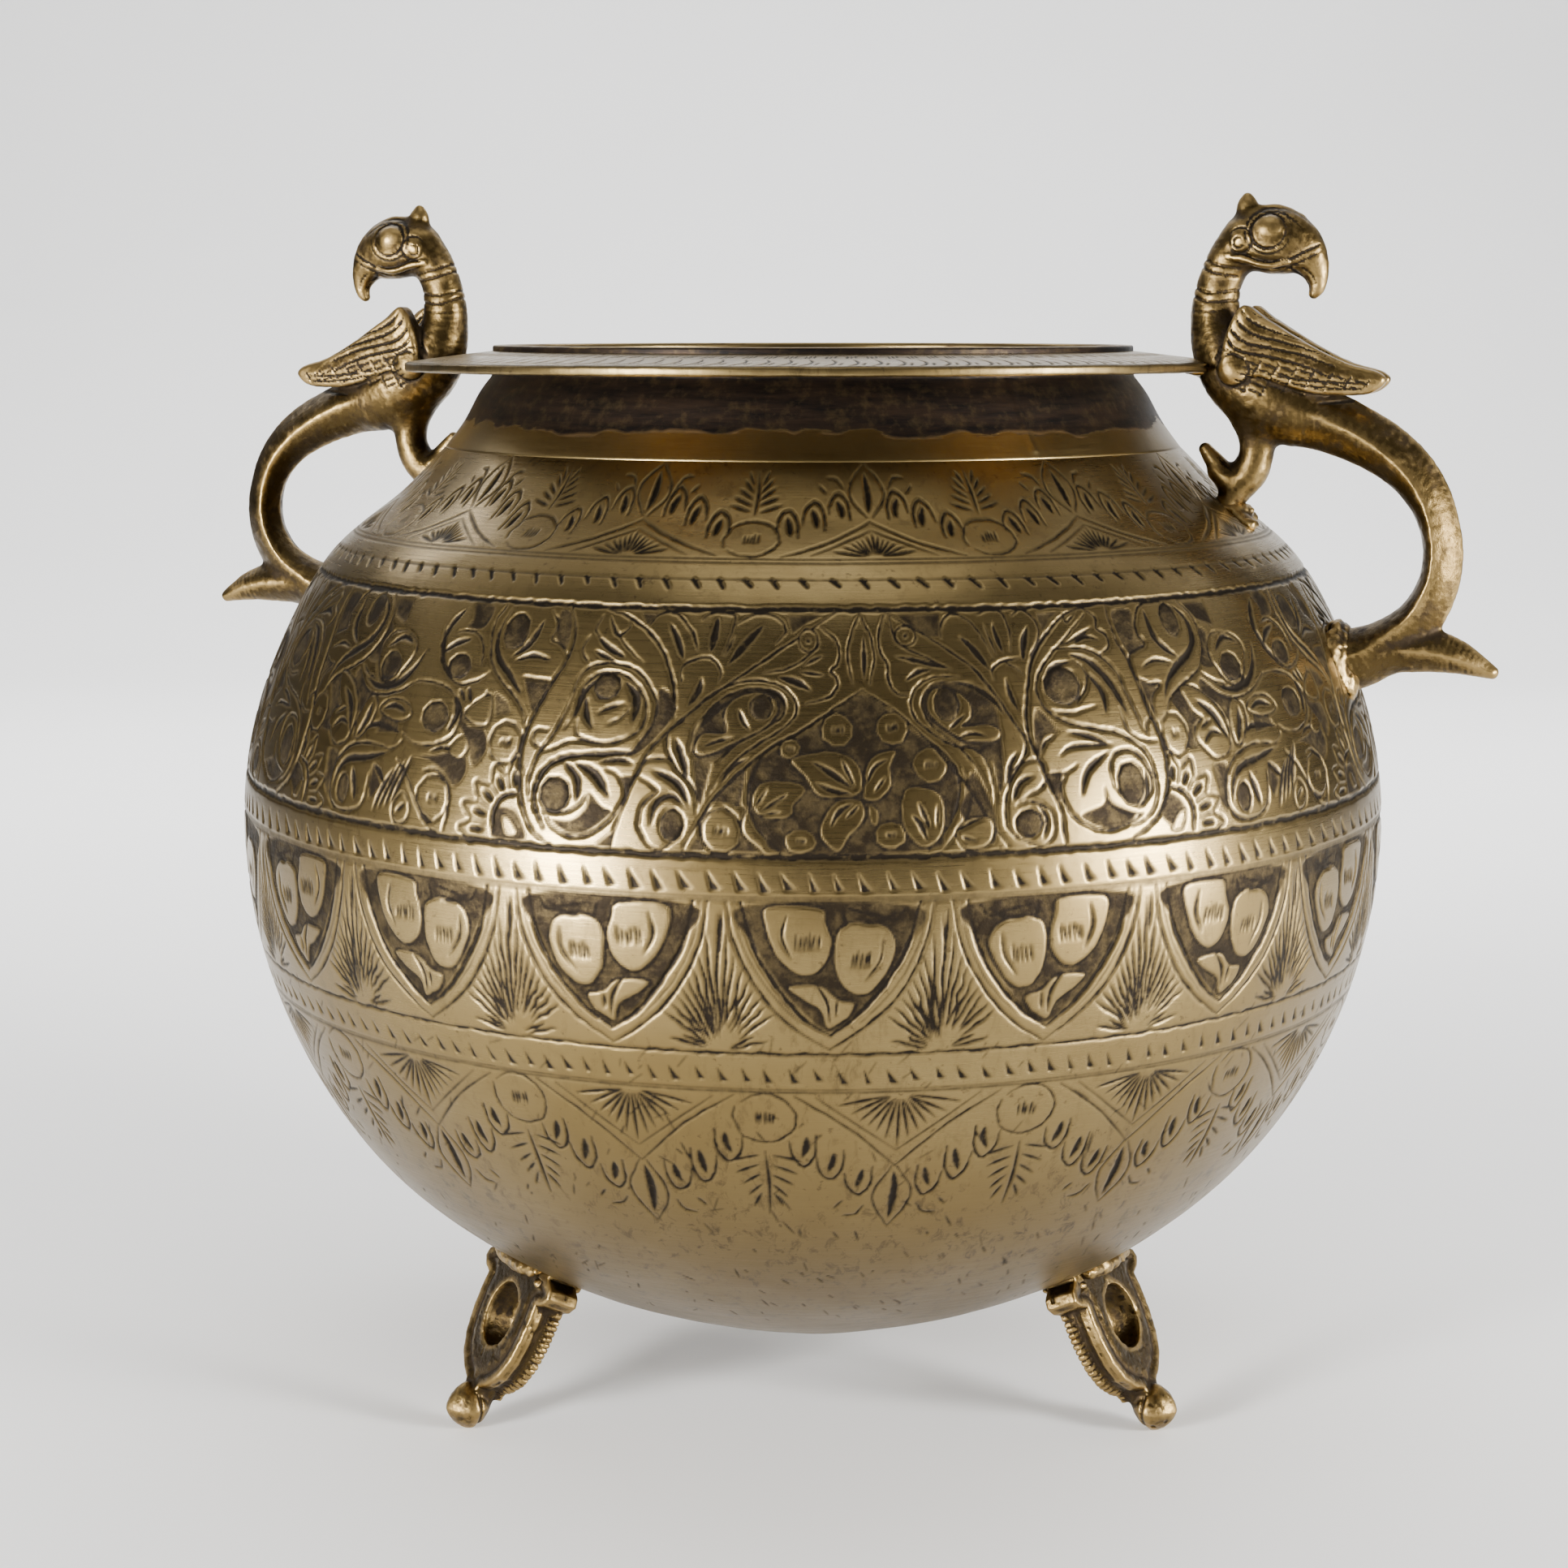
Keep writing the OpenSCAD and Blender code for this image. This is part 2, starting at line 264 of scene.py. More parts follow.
    def fill(self, poly, d=0.4, soft=0.5, dark=0.75):
        """Cuts the ground down inside an outline, with sloping edges."""
        Q = np.array(poly, float)
        Q = curve(np.vstack([Q[-1], Q, Q[0], Q[1]]), 5)[5:-5] if len(Q) > 4 else Q
        win = self._window(Q[:, 0].min() - 1, Q[:, 0].max() + 1, Q[:, 1].min() - 1, Q[:, 1].max() + 1)
        if win is None:
            return
        si, sj, X, Y = win
        X = np.broadcast_to(X, (Y.shape[0], X.shape[1])); Y = np.broadcast_to(Y, X.shape)
        inside = np.zeros(X.shape, bool)
        dist = np.full(X.shape, 1e9)
        for a, b in zip(Q, np.roll(Q, -1, 0)):
            dx, dy = b - a
            if abs(dy) > 1e-9:
                c = ((a[1] > Y) != (b[1] > Y)) & (X < dx * (Y - a[1]) / dy + a[0])
                inside ^= c
            t = np.clip(((X - a[0]) * dx + (Y - a[1]) * dy) / (dx * dx + dy * dy + 1e-12), 0, 1)
            dist = np.minimum(dist, np.hypot(X - a[0] - t * dx, Y - a[1] - t * dy))
        v = np.where(inside, np.clip(dist / soft, 0, 1), 0)
        self._put(si, sj, d * v, dark * np.clip(v * 1.6, 0, 1))
        self.ground[si, sj] = np.maximum(self.ground[si, sj], v)

    def sample(self, x, y):
        """depth and dark at points, bilinear."""
        fx = (x - self.x0) / self.step_x; fy = (y - self.y0) / self.step
        if self.wrap:
            fx = fx % self.nx
        ok = (fy >= 0) & (fy <= self.ny - 1) & (self.wrap | ((fx >= 0) & (fx <= self.nx - 1)))
        fx = np.clip(fx, 0, self.nx - 1e-3); fy = np.clip(fy, 0, self.ny - 1 - 1e-3)
        i = fy.astype(int); j = fx.astype(int); a = fy - i; b = fx - j
        i2 = np.minimum(i + 1, self.ny - 1); j2 = (j + 1) % self.nx if self.wrap else np.minimum(j + 1, self.nx - 1)
        out = []
        for A in (self.depth, self.dark):
            out.append(np.where(ok, A[i, j] * (1 - a) * (1 - b) + A[i, j2] * (1 - a) * b + A[i2, j] * a * (1 - b) + A[i2, j2] * a * b, 0))
        return out


# ------------------------------------------------------------------ engraving round the globe
HALF = 150 * math.pi
SHEET = Sheet(-HALF, HALF, 58, 345, 0.2, wrap=True)


def lift(poly, soft=0.35):
    """Puts the surface back up inside an outline, so a leaf or berry stands in cut-down ground."""
    Q = np.array(poly, float)
    win = SHEET._window(Q[:, 0].min() - 1, Q[:, 0].max() + 1, Q[:, 1].min() - 1, Q[:, 1].max() + 1)
    si, sj, X, Y = win
    inside = np.zeros((Y.shape[0], X.shape[1]), bool)
    dist = np.full(inside.shape, 1e9)
    for a, b in zip(Q, np.roll(Q, -1, 0)):
        dx, dy = b - a
        if abs(dy) > 1e-9:
            inside ^= ((a[1] > Y) != (b[1] > Y)) & (X < dx * (Y - a[1]) / dy + a[0])
        t = np.clip(((X - a[0]) * dx + (Y - a[1]) * dy) / (dx * dx + dy * dy + 1e-12), 0, 1)
        dist = np.minimum(dist, np.hypot(X - a[0] - t * dx, Y - a[1] - t * dy))
    keep = 1 - np.where(inside, np.clip(dist / soft, 0, 1), 0)
    for A in (SHEET.depth, SHEET.dark, SHEET.ground):
        A[si, sj] = A[si, sj] * keep


class Pen:
    def __init__(self, x0=0, y0=0, sx=1, sy=1, jit=0.16):
        self.o = np.array([x0, y0], float); self.s = np.array([sx, sy], float); self.jit = jit

    def p(self, P):
        P = np.array(P, float)
        return self.o + P * self.s + rng.uniform(-self.jit, self.jit, P.shape)

    def line(self, P, w=0.8, d=0.42, **k):
        SHEET.line(self.p(P), w, d, n=5, rough=0.22, taper=k.pop("taper", (0.55, 0.45)), **k)

    def thick(self, P, w=1.15, d=0.55):
        SHEET.line(self.p(P), w, d, n=5, rough=0.28, taper=(0.5, 0.5))

    def cut(self, P, w=1.6, d=0.5):
        SHEET.leafcut(self.p(P), w, d)

    def cuts(self, rows):
        for w, P in rows:
            self.cut(P, w)

    def fill(self, P, d=0.38):
        SHEET.fill(self.p(P), d, 0.5, 0.62)

    def shape(self, P, w=0.75, d=0.42, up=True, closed=True):
        """A leaf or petal: its body stays up and its outline is cut."""
        Q = self.p(P)
        C = curve(np.vstack([Q[-1:], Q, Q[:2]]), 4)[4:-4]
        if up:
            lift(C)
        SHEET.stroke(np.vstack([C, C[:1]]) + rng.uniform(-.07, .07, (len(C) + 1, 2)), w, d, rough=0.3)

    def berry(self, x, y, rx, ry=None, ticks=4, th=2.0, w=0.75, d=0.42, n=9):
        ry = ry or rx
        a0 = rng.uniform(0, 1)
        P = [(x + rx * math.cos(a0 + 6.2832 * k / n) * rng.uniform(.95, 1.04), y + ry * math.sin(a0 + 6.2832 * k / n) * rng.uniform(.95, 1.04)) for k in range(n)]
        Q = self.p(P)
        lift(Q)
        C = np.vstack([Q, Q[:1]])
        C = np.vstack([a + (b - a) * t for a, b in zip(C[:-1], C[1:]) for t in (0, .5)] + [C[-1:]])
        SHEET.stroke(C, w, d, rough=0.35)
        for k in range(ticks):
            xx = x + (k - (ticks - 1) / 2) * 0.75
            self.cut([(xx, y - th * 0.45), (xx + 0.15, y + th * rng.uniform(.35, .6))], 0.75, 0.35)

    def eye(self, x, y, rx, ry, n=9):
        """The sunk round at the heart of a scroll."""
        P = [(x + rx * math.cos(6.2832 * k / n), y + ry * math.sin(6.2832 * k / n)) for k in range(n)]
        self.fill(P, 0.22)
        Q = self.p(P)
        SHEET.stroke(np.vstack([Q, Q[:1]]), 0.8, 0.45, rough=0.4)


def ring(y, w, d, rough=0.0, seed=0, amp=0.15, step=3.0):
    g = np.random.default_rng(seed)
    n = int(2 * HALF / step)
    x = np.linspace(-HALF, HALF, n + 1)
    j = g.uniform(-1, 1, n + 1); j[-1] = j[0]
    SHEET.stroke(np.stack([x, y + amp * j], 1), w, d, taper=(1, 1), rough=rough)


# --- the broad scroll frieze: one panel, cut four times round the pot
def scroll_panel(x0):
    A = Pen(x0, 0, 1, 1, 0.14)
    F_ = A.fill
    # cut-down ground first
    F_([(10.5, 278.3), (0.3, 271.8), (-9.7, 265.8), (-15, 262), (-16, 256), (-15, 250), (-12, 246.5), (-7.5, 242.9), (24, 243.2), (28, 247), (30.5, 251), (31.8, 256), (31, 261), (27, 265.5), (21.4, 270.2)])
    F_([(-28.5, 270), (-22, 277), (-16, 279.8), (-11, 279), (-8, 276), (-9, 272.5), (-14, 269.5), (-20, 265.5), (-24, 262.5), (-28.5, 263.5)])
    F_([(26, 279.5), (24.6, 276), (25.6, 272.2), (30, 268.4), (36, 264.5), (40, 262), (42.5, 268), (42.6, 274), (38, 279), (32, 281)])
    F_([(-24, 262.8), (-29, 263.4), (-27.5, 254), (-26.3, 252.5)]); F_([(-23.5, 254.5), (-17, 261.5), (-16.3, 260), (-17.5, 253), (-19.5, 253.5)])
    F_([(-38.4, 279), (-34.2, 277), (-34, 272.3), (-40, 265), (-44, 263), (-41, 268), (-38.6, 273)])
    F_([(-74.7, 279.7), (-66.4, 279.4), (-70.3, 271.1), (-72, 274.4)]); F_([(-69, 296.5), (-65.5, 296), (-63.8, 290), (-65, 286.5), (-68.5, 290)])
    F_([(-61.4, 248.3), (-56.4, 248.6), (-53, 251.7), (-52.2, 254.6), (-49.1, 251.7), (-46.9, 250.6), (-51.4, 246.7), (-56.4, 245.3)])
    F_([(-45.6, 258.8), (-41.5, 259.3), (-43.6, 254.5)]); F_([(-50.5, 243), (-45.5, 247), (-46, 243)])
    F_([(60.4, 249.2), (66, 251.1), (67.4, 252.9), (69.3, 251.1), (74.9, 248.3), (69.3, 245.6), (63.8, 246.7)])
    F_([(-8, 297), (-6.5, 292), (-3, 294.5), (2, 296.8)]); F_([(19.5, 296.8), (26, 291.5), (30.5, 291), (31.5, 297)])
    F_([(57.5, 296.6), (58, 291), (62, 295), (66, 297)]); F_([(-46, 297), (-43.8, 293.4), (-40.5, 297)])
    F_([(40, 264.5), (43, 268.5), (42.6, 258), (40.8, 255), (40.2, 259)]); F_([(33.5, 258.5), (36, 260), (40, 250), (38.5, 244), (31.5, 251), (32.8, 255)])
    F_([(51, 261.3), (53.6, 267), (57.5, 268), (52.5, 274), (50.8, 268)]); F_([(52.8, 259), (57, 259.3), (56.2, 253), (54.8, 252)])
    F_([(82.3, 279), (88.6, 277.3), (85.2, 274.4), (84.6, 268.9)]); F_([(80, 295.5), (87, 295.8), (86, 290), (87.4, 287), (81.6, 285)])
    F_([(91, 273.5), (95, 275.8), (97, 270), (99, 268.3), (96.3, 266.7), (95.8, 263.5), (97.5, 261.7), (92.5, 262), (94, 267), (92, 271)])
    F_([(103, 278), (108, 274), (114, 272.6), (112.5, 272.2), (108.5, 267), (106.6, 270.5), (101.5, 275)])
    F_([(108.5, 290), (111, 288.5), (109, 284.5), (109.6, 280), (104.5, 280.8), (107.5, 285.5)]); F_([(105.5, 296.5), (109, 292), (115, 290), (114.5, 296.5)])
    F_([(118, 267.5), (124.5, 268), (126, 264), (117.5, 263.2)]); F_([(118.4, 251), (119.3, 256), (123.5, 251.5), (120, 247.5)])
    F_([(99.5, 257.6), (104.5, 257), (102.8, 250), (103.2, 246), (100.5, 249), (100, 253)]); F_([(81.5, 249.4), (85, 252.6), (89, 249.4), (88.2, 244.2), (83.5, 246)])
    F_([(-105, 259), (-98, 258.5), (-93, 256.5), (-88.5, 253.5), (-85.5, 257.5), (-88, 262.5), (-95, 260.5)]); F_([(-90, 271.5), (-88, 268), (-82.5, 267), (-80.8, 262.5), (-84, 258.5), (-87, 263.5), (-91, 268)])
    F_([(-82.3, 276.5), (-80.5, 270), (-75.5, 271), (-77.5, 274)]); F_([(-97, 296.8), (-90, 296.6), (-91, 291), (-97, 290.5), (-96, 293)])
    F_([(-75.8, 250), (-70.8, 249.5), (-67.5, 244), (-70, 243), (-76.5, 243.5), (-76.5, 247)]); F_([(-26.5, 247), (-24.5, 243), (-29, 243)]); F_([(-19.5, 243), (-17, 247), (-12.5, 243)])
    # central panel
    A.berry(4.3, 270, 4.0); A.berry(17, 270.3, 4.0); A.berry(25.5, 262, 4.3, 4.2); A.berry(-6.6, 265.8, 2.6, ticks=3, th=1.4)
    A.berry(-4, 245.6, 3.9, 2.9, ticks=3, th=1.5); A.berry(15.8, 246.8, 3.9, 3.2, ticks=3, th=1.6); A.berry(-21.5, 247.6, 4.6, 5.0)
    A.shape([(9.3, 256), (9.8, 260), (8, 263.5), (4, 265.3), (-1, 265.2), (-6.5, 263.2), (-3.2, 259.5), (-0.5, 255.6), (4, 254.9)], 0.85)
    A.shape([(10.2, 258), (10.6, 262), (13, 264.8), (17.8, 265.2), (16.4, 261.5), (16.4, 257.5), (13.5, 254.4), (10, 254.6)], 0.85)
    A.shape([(8.8, 254.6), (3.8, 254.4), (0.6, 250), (0.3, 246.2), (4.2, 243.2), (7, 246.8), (10.2, 250.3), (10.2, 253.2)], 0.85)
    A.shape([(-14, 257.3), (-11, 258.9), (-5.3, 258.5), (-3, 257.3), (-3.5, 255.4), (-5.5, 253.5), (-5.9, 250.9), (-10.5, 250.2), (-13.5, 251.5), (-14.9, 254)])
    A.shape([(18.6, 255.8), (21, 257.4), (26, 256.4), (27.9, 254.2), (28.1, 249), (26.8, 245.4), (23, 243.8), (19.6, 246.8), (18.3, 251)])
    A.shape([(11, 253.4), (13.2, 252.2), (13, 248.9), (11.4, 249.8)], 0.6)
    A.cuts([(1.3, [(8, 257.6), (5, 263.6)]), (2.2, [(7.6, 257), (3, 260.4), (-1.3, 263)]), (1.7, [(7.4, 255.9), (3, 256.7), (-1, 258.4)]),
            (1.4, [(10.8, 258), (12.4, 261.5), (15.6, 263.6)]), (1.1, [(12.4, 256), (15, 259.4)]), (1.6, [(2.6, 248.6), (4.4, 252), (7.8, 254)]),
            (1.1, [(6, 250.5), (9.2, 253.8)]), (1.0, [(-14, 253), (-11.6, 257)]), (1.3, [(-12.6, 252), (-7, 255.8)]), (0.9, [(-13, 251.2), (-8.4, 251.9)]),
            (1.9, [(20.6, 251), (22.6, 249), (23.9, 245.4)]), (1.7, [(22.2, 254), (23.4, 251.5), (24.6, 247.8)]), (1.0, [(26.6, 253.4), (26.3, 248)])])
    # frame of the panel
    A.thick([(10.4, 279), (5.5, 276), (0.3, 272.6), (-5, 269.2), (-9.7, 266.7), (-17.2, 261.1), (-23.9, 253.9), (-28, 247.2), (-30.3, 243)])
    A.thick([(10.5, 279), (16.9, 275), (21.6, 270.7), (27.6, 264.6), (31.6, 259.8), (35.2, 254.8), (38.5, 249), (42.5, 243.5)], 1.0)
    A.line([(-13.1, 263.9), (-15.6, 257.8), (-15.3, 252.2), (-12.8, 247.5), (-7.5, 242.5)], 1.0)
    A.line([(22.5, 269.9), (27.5, 265.6), (31.2, 261.1), (31.9, 256.1), (30.3, 251.1), (27.5, 246.7), (24.2, 243)], 1.0)
    A.line([(32.6, 261), (34.2, 256), (33.4, 251), (30.4, 246.6), (27, 243)], 0.7)
    # left scroll of the panel
    A.shape([(-16, 278.4), (-20.5, 276.6), (-22.3, 273), (-21.4, 269.4), (-27, 269), (-28.6, 264.6), (-25, 264.2), (-19, 266.9), (-12, 270.6), (-9.4, 274.6), (-11.6, 278)], 0.85)
    A.thick([(-31.4, 272.2), (-26.4, 277.2), (-20.3, 280.2), (-14.2, 281.1), (-8.1, 279.7), (-5.3, 276.1), (-5.5, 272.8), (-9.2, 269.7), (-14.7, 266.1), (-20.3, 261.7), (-23.1, 257.8), (-24.9, 255.6)], 0.95)
    A.thick([(-29.8, 264), (-28.6, 270.4), (-23.5, 276.6), (-17.2, 279.2), (-11.8, 279), (-8.3, 276.4), (-8.6, 273), (-13, 269.8), (-19, 266.3), (-22.5, 262.6)], 0.85)
    A.eye(-13.4, 275, 2.7, 3.0)
    A.cuts([(2.6, [(-27.6, 269.8), (-24.6, 274), (-21, 276.4)]), (1.3, [(-26.6, 266), (-23, 267.2), (-19.6, 268.2)]), (1.2, [(-22.4, 262.8), (-20.4, 265.8), (-17, 268)]),
            (1.5, [(-18.9, 274.6), (-17.6, 271.6), (-15.9, 269.9)]), (1.2, [(-22.4, 257.6), (-19.6, 261.4), (-15.6, 263.7)]), (1.6, [(-12, 279.6), (-9, 277.6), (-7.4, 274.6)])])
    # right scroll of the panel
    A.shape([(28.6, 279.4), (33, 278.6), (36.2, 275.6), (36.1, 272.2), (33.6, 270.5), (38.6, 270.7), (42.4, 269.6), (42.4, 267.2), (38, 266.4), (33.4, 267.2), (28.8, 270.6), (25.6, 274), (26, 277.6)], 0.85)
    A.thick([(34.5, 281.5), (30.5, 282), (26.5, 281.3), (23.3, 279.2), (21.9, 276.1), (22.8, 272.2), (26.4, 268.9), (31.4, 266.1), (35.9, 265.4), (38.6, 262.6), (39.7, 257.8), (40, 253)], 0.95)
    A.thick([(31, 280.8), (27.4, 280), (25.2, 277.8), (24.4, 275), (25.8, 271.7), (28.6, 268.9), (33, 265.4), (35.9, 261.5), (38.6, 256)], 0.85)
    A.eye(30.4, 275.4, 3.1, 3.8)
    A.cuts([(1.8, [(32.6, 280.7), (38, 279), (42, 276), (44.2, 272.4)]), (1.4, [(32.4, 268), (36, 268.6), (39.4, 268)]), (1.5, [(34.6, 273), (32.4, 271.4), (30.4, 269.6)]), (1.1, [(36.6, 264), (38.6, 265.8), (40.4, 266)])])
    A.thick([(17, 297.2), (24.7, 292.8), (31.4, 288.9), (38, 283.3), (42.5, 277.8), (46.4, 271.1), (48.7, 267), (48, 263.6), (44.7, 258.9), (42.5, 253.9), (42.3, 248.3), (45.3, 245), (50.8, 243)], 1.1)
    A.thick([(4.7, 297.5), (-4.7, 291.4), (-12, 286.8), (-18, 282.8), (-24.2, 278.3), (-31, 272.8), (-38, 265.8), (-41.9, 258.9), (-44.7, 250.6), (-46.6, 243)], 1.1)
    # leaf at the top middle, and the pair beside it
    A.thick([(10.5, 297.2), (8.3, 292.8), (7.2, 287.8), (7.5, 283.9), (8.3, 280.3)], 1.0); A.thick([(10.7, 296.8), (13, 291.7), (13.7, 287.2), (13.3, 283.9), (12.4, 280.3)], 1.0)
    A.cut([(11.1, 292), (11.2, 287), (11, 281.4)], 1.7)
    A.line([(0.6, 293.9), (4.2, 291.1), (5.3, 287.8), (4.4, 285), (3, 283.3), (4.4, 281.7), (4.4, 279.4), (1.9, 277.2), (-3.1, 276.1)], 1.05, 0.5)
    A.berry(-2.5, 290.6, 2.5, 2.8, ticks=2, th=1.4); A.berry(21.7, 291.7, 2.6, 2.5, ticks=2, th=1.4)
    A.line([(-13.3, 282.8), (-7, 284.2), (-2, 287.2), (0.6, 290)], 0.85); A.line([(18, 296.7), (18.6, 292.2), (20.5, 289.4), (26.9, 286.1), (32.5, 283.3)], 0.9)
    A.line([(16.7, 296.7), (15.2, 292.8), (15.2, 288.3), (16.7, 285), (16.7, 281.1), (18.6, 278.3), (21.4, 277.5)], 1.15, 0.55)
    A.cuts([(1.3, [(-3.6, 284.7), (-1.2, 286), (1.1, 287)]), (1.1, [(-4.7, 283.3), (1.4, 282.5)]), (2.3, [(-9.7, 282), (-5, 280.8), (-1.4, 278.6)]),
            (1.6, [(18.6, 286.7), (24, 285.8), (31.4, 283.6)]), (1.6, [(20.8, 281.1), (24.2, 283.2), (27.6, 283.6)])])
    # palmette to the right
    A.line([(30.6, 290.8), (31.6, 295), (35, 297), (39, 294.6), (42, 290), (43.6, 285.8)], 0.9); A.line([(41, 296.4), (44.5, 297.6), (48, 296.4), (49, 292), (48.2, 287)], 0.9)
    A.line([(50.4, 295.8), (53.6, 297.4), (57, 294.5), (56.6, 290), (53, 285.6)], 0.9); A.line([(42.8, 280.6), (43, 283.4), (46.9, 285), (50.6, 285.4)], 0.9); A.line([(46.6, 284.6), (49.2, 283.2), (51, 281.3)], 0.9)
    A.cuts([(2.3, [(35.3, 291.4), (38.4, 288.5), (42.4, 282.8)]), (1.9, [(45, 294.4), (45.4, 291), (46.4, 286.6)]), (2.3, [(54.6, 293.2), (52.4, 289.4), (51.2, 284.8)]), (1.8, [(45.8, 281.1), (46.4, 277), (48, 273.3)]), (1.0, [(42.4, 294), (43.5, 290), (44.6, 286.4)])])
    # leaves and the small scroll at its foot
    A.line([(42.5, 256.7), (44.7, 260), (48, 261.8), (51.9, 261.7), (52.6, 257.8), (50.8, 255.6), (45.3, 253.3)], 0.9); A.cuts([(1.9, [(44.2, 253.3), (46.2, 257), (49.9, 258.7)]), (1.7, [(43.2, 256.4), (44.2, 260.8), (46.4, 264)])])
    A.eye(47.6, 248.2, 3.3, 3.0); A.line([(44.6, 252.2), (48, 253.1), (51.9, 251.7), (53.7, 248.9), (53, 245), (50.6, 243.2)], 0.95); A.cut([(50, 252.2), (52, 249), (50.6, 244.6)], 1.5)
    A.shape([(30.6, 247.4), (33.5, 250), (38, 250), (39.4, 247.5), (38, 244), (33.2, 243.2), (31, 245)], 0.7); A.cuts([(1.2, [(31, 247.4), (34, 249), (37, 249.9)]), (1.1, [(31.6, 246), (35.2, 245)])])
    # the tall stem, then the big scrolls to the right
    A.thick([(74, 297.4), (68, 296.5), (63, 293.9), (57.5, 289.4), (53.6, 285), (51.4, 279.4), (50, 273.3), (49.8, 267.2), (51.4, 262.2), (53.6, 256.1), (55.3, 251.1), (56.2, 243)], 1.35, 0.6)
    A.thick([(72.5, 295.6), (68, 292.8), (63, 288.9), (58.6, 285.6), (55, 281.7), (53.4, 277.8), (55.2, 273.3), (59.7, 270.2), (66, 268.6), (72, 267.2), (77.6, 264.6), (80.6, 261), (81.6, 256.7), (81, 251.7), (78.2, 247.8), (73.6, 246)], 1.0)
    A.thick([(59.9, 287.2), (67.1, 287.3), (72.1, 285.6), (76.5, 281.1), (78.2, 275.6), (80.4, 268.3), (81.6, 266)], 1.0)
    A.thick([(79.4, 297), (79, 294.4), (79.3, 288.9), (81, 283.9), (82.7, 275), (83.8, 270), (85.4, 264.4), (85.4, 257.8), (84.3, 252.8), (82.1, 248.9), (78.2, 245.6), (73.8, 243.2)], 1.35, 0.6)
    A.eye(60.4, 278.6, 5.0, 4.4); A.thick([(64.6, 284.6), (67, 282.9), (67.8, 280), (66.5, 277), (63.6, 274.4)], 0.9); A.thick([(56, 272.9), (61.5, 272.2), (68.2, 273.3)], 0.8)
    A.cuts([(2.7, [(63.8, 286), (69.3, 283.9), (73.8, 278.9), (77.1, 270.6)]), (2.1, [(67.3, 282), (71, 276.7), (71, 271.1)]), (2.2, [(55.4, 277), (58.4, 282.4), (64, 284.2)])])
    A.line([(65.4, 296.1), (66, 293.9), (69.4, 296)], 0.9); A.line([(72.1, 296.7), (74.9, 294.4), (74.3, 291.7), (76.6, 290), (76.2, 286.9), (73.2, 285.3)], 1.05)
    A.cuts([(1.3, [(62.7, 287.9), (68, 290), (73.2, 292.2)]), (1.6, [(66.5, 288.4), (70, 289.8), (74, 289)])])
    A.line([(74.9, 272.8), (76, 267.2), (80.4, 264.9), (84, 264.6)], 0.85); A.line([(81.4, 266.4), (81.6, 268.4), (83.4, 269.5), (85.4, 268.3)], 0.8)
    # lower one
    A.eye(74.6, 255.4, 3.6, 4.8); A.thick([(71.2, 253), (69.3, 257), (70.4, 261.5), (73.8, 262.9), (77.7, 261.7), (80.4, 257.2), (79.9, 253.3), (77, 250.4)], 0.95)
    A.line([(52.4, 263.6), (53.4, 265.8), (56.4, 267.4)], 0.9); A.line([(52.8, 259), (57.7, 259), (61, 260.6)], 0.8)
    A.thick([(58.2, 259.2), (56.1, 255.6), (56.6, 252.2), (58.8, 248.9), (63.8, 246.1), (68.2, 245.3), (73.2, 246.7), (76.6, 248.6)], 0.95); A.line([(67.1, 255), (67.7, 252.2), (71, 249.4), (76, 248.4)], 0.85)
    A.cuts([(1.5, [(56.6, 262.6), (60.4, 264.5), (71, 264.4)]), (1.8, [(59.3, 267.9), (64, 267), (69.6, 264.8)]), (2.1, [(61, 253.4), (63.4, 258.9), (69.3, 262.8)]), (1.5, [(79.2, 258.4), (78.6, 252.6), (75.6, 249.6)])])
    # scalloped fan between the scrolls
    for cx, flip in ((85.4, 1), (-70.6, -1)):
        A.thick([(cx + flip * 0.3, 253.6), (cx + flip * 4.2, 252.1), (cx + flip * 6.1, 248.6), (cx + flip * 5.6, 243.6)], 1.5)
        ends = []
        for k, an in enumerate((84, 62, 40, 19, 0)):
            c, s = math.cos(math.radians(an)), math.sin(math.radians(an))
            A.cut([(cx + flip * 8.2 * c, 244.6 + 10.2 * s), (cx + flip * 12.6 * c, 244.6 + 14.2 * s)], 1.7, 0.55)
            a1, a2 = math.radians(an + 10), math.radians(an - 10)
            A.line([(cx + flip * 12.2 * math.cos(a1), 244.6 + 13.4 * math.sin(a1)), (cx + flip * 15.6 * c, 244.6 + 17 * s), (cx + flip * 12.2 * math.cos(a2), 244.6 + 13.4 * math.sin(a2))], 0.75)
            A.line([(cx + flip * 8.0 * math.cos(a2), 244.6 + 9.6 * math.sin(a2)), (cx + flip * 12.4 * math.cos(a2), 244.6 + 13.6 * math.sin(a2))], 0.55)
        A.shape([(cx + flip * -0.8, 244.4), (cx + flip * 1.6, 248), (cx + flip * 4.0, 248.2), (cx + flip * 2.4, 244)], 0.6)
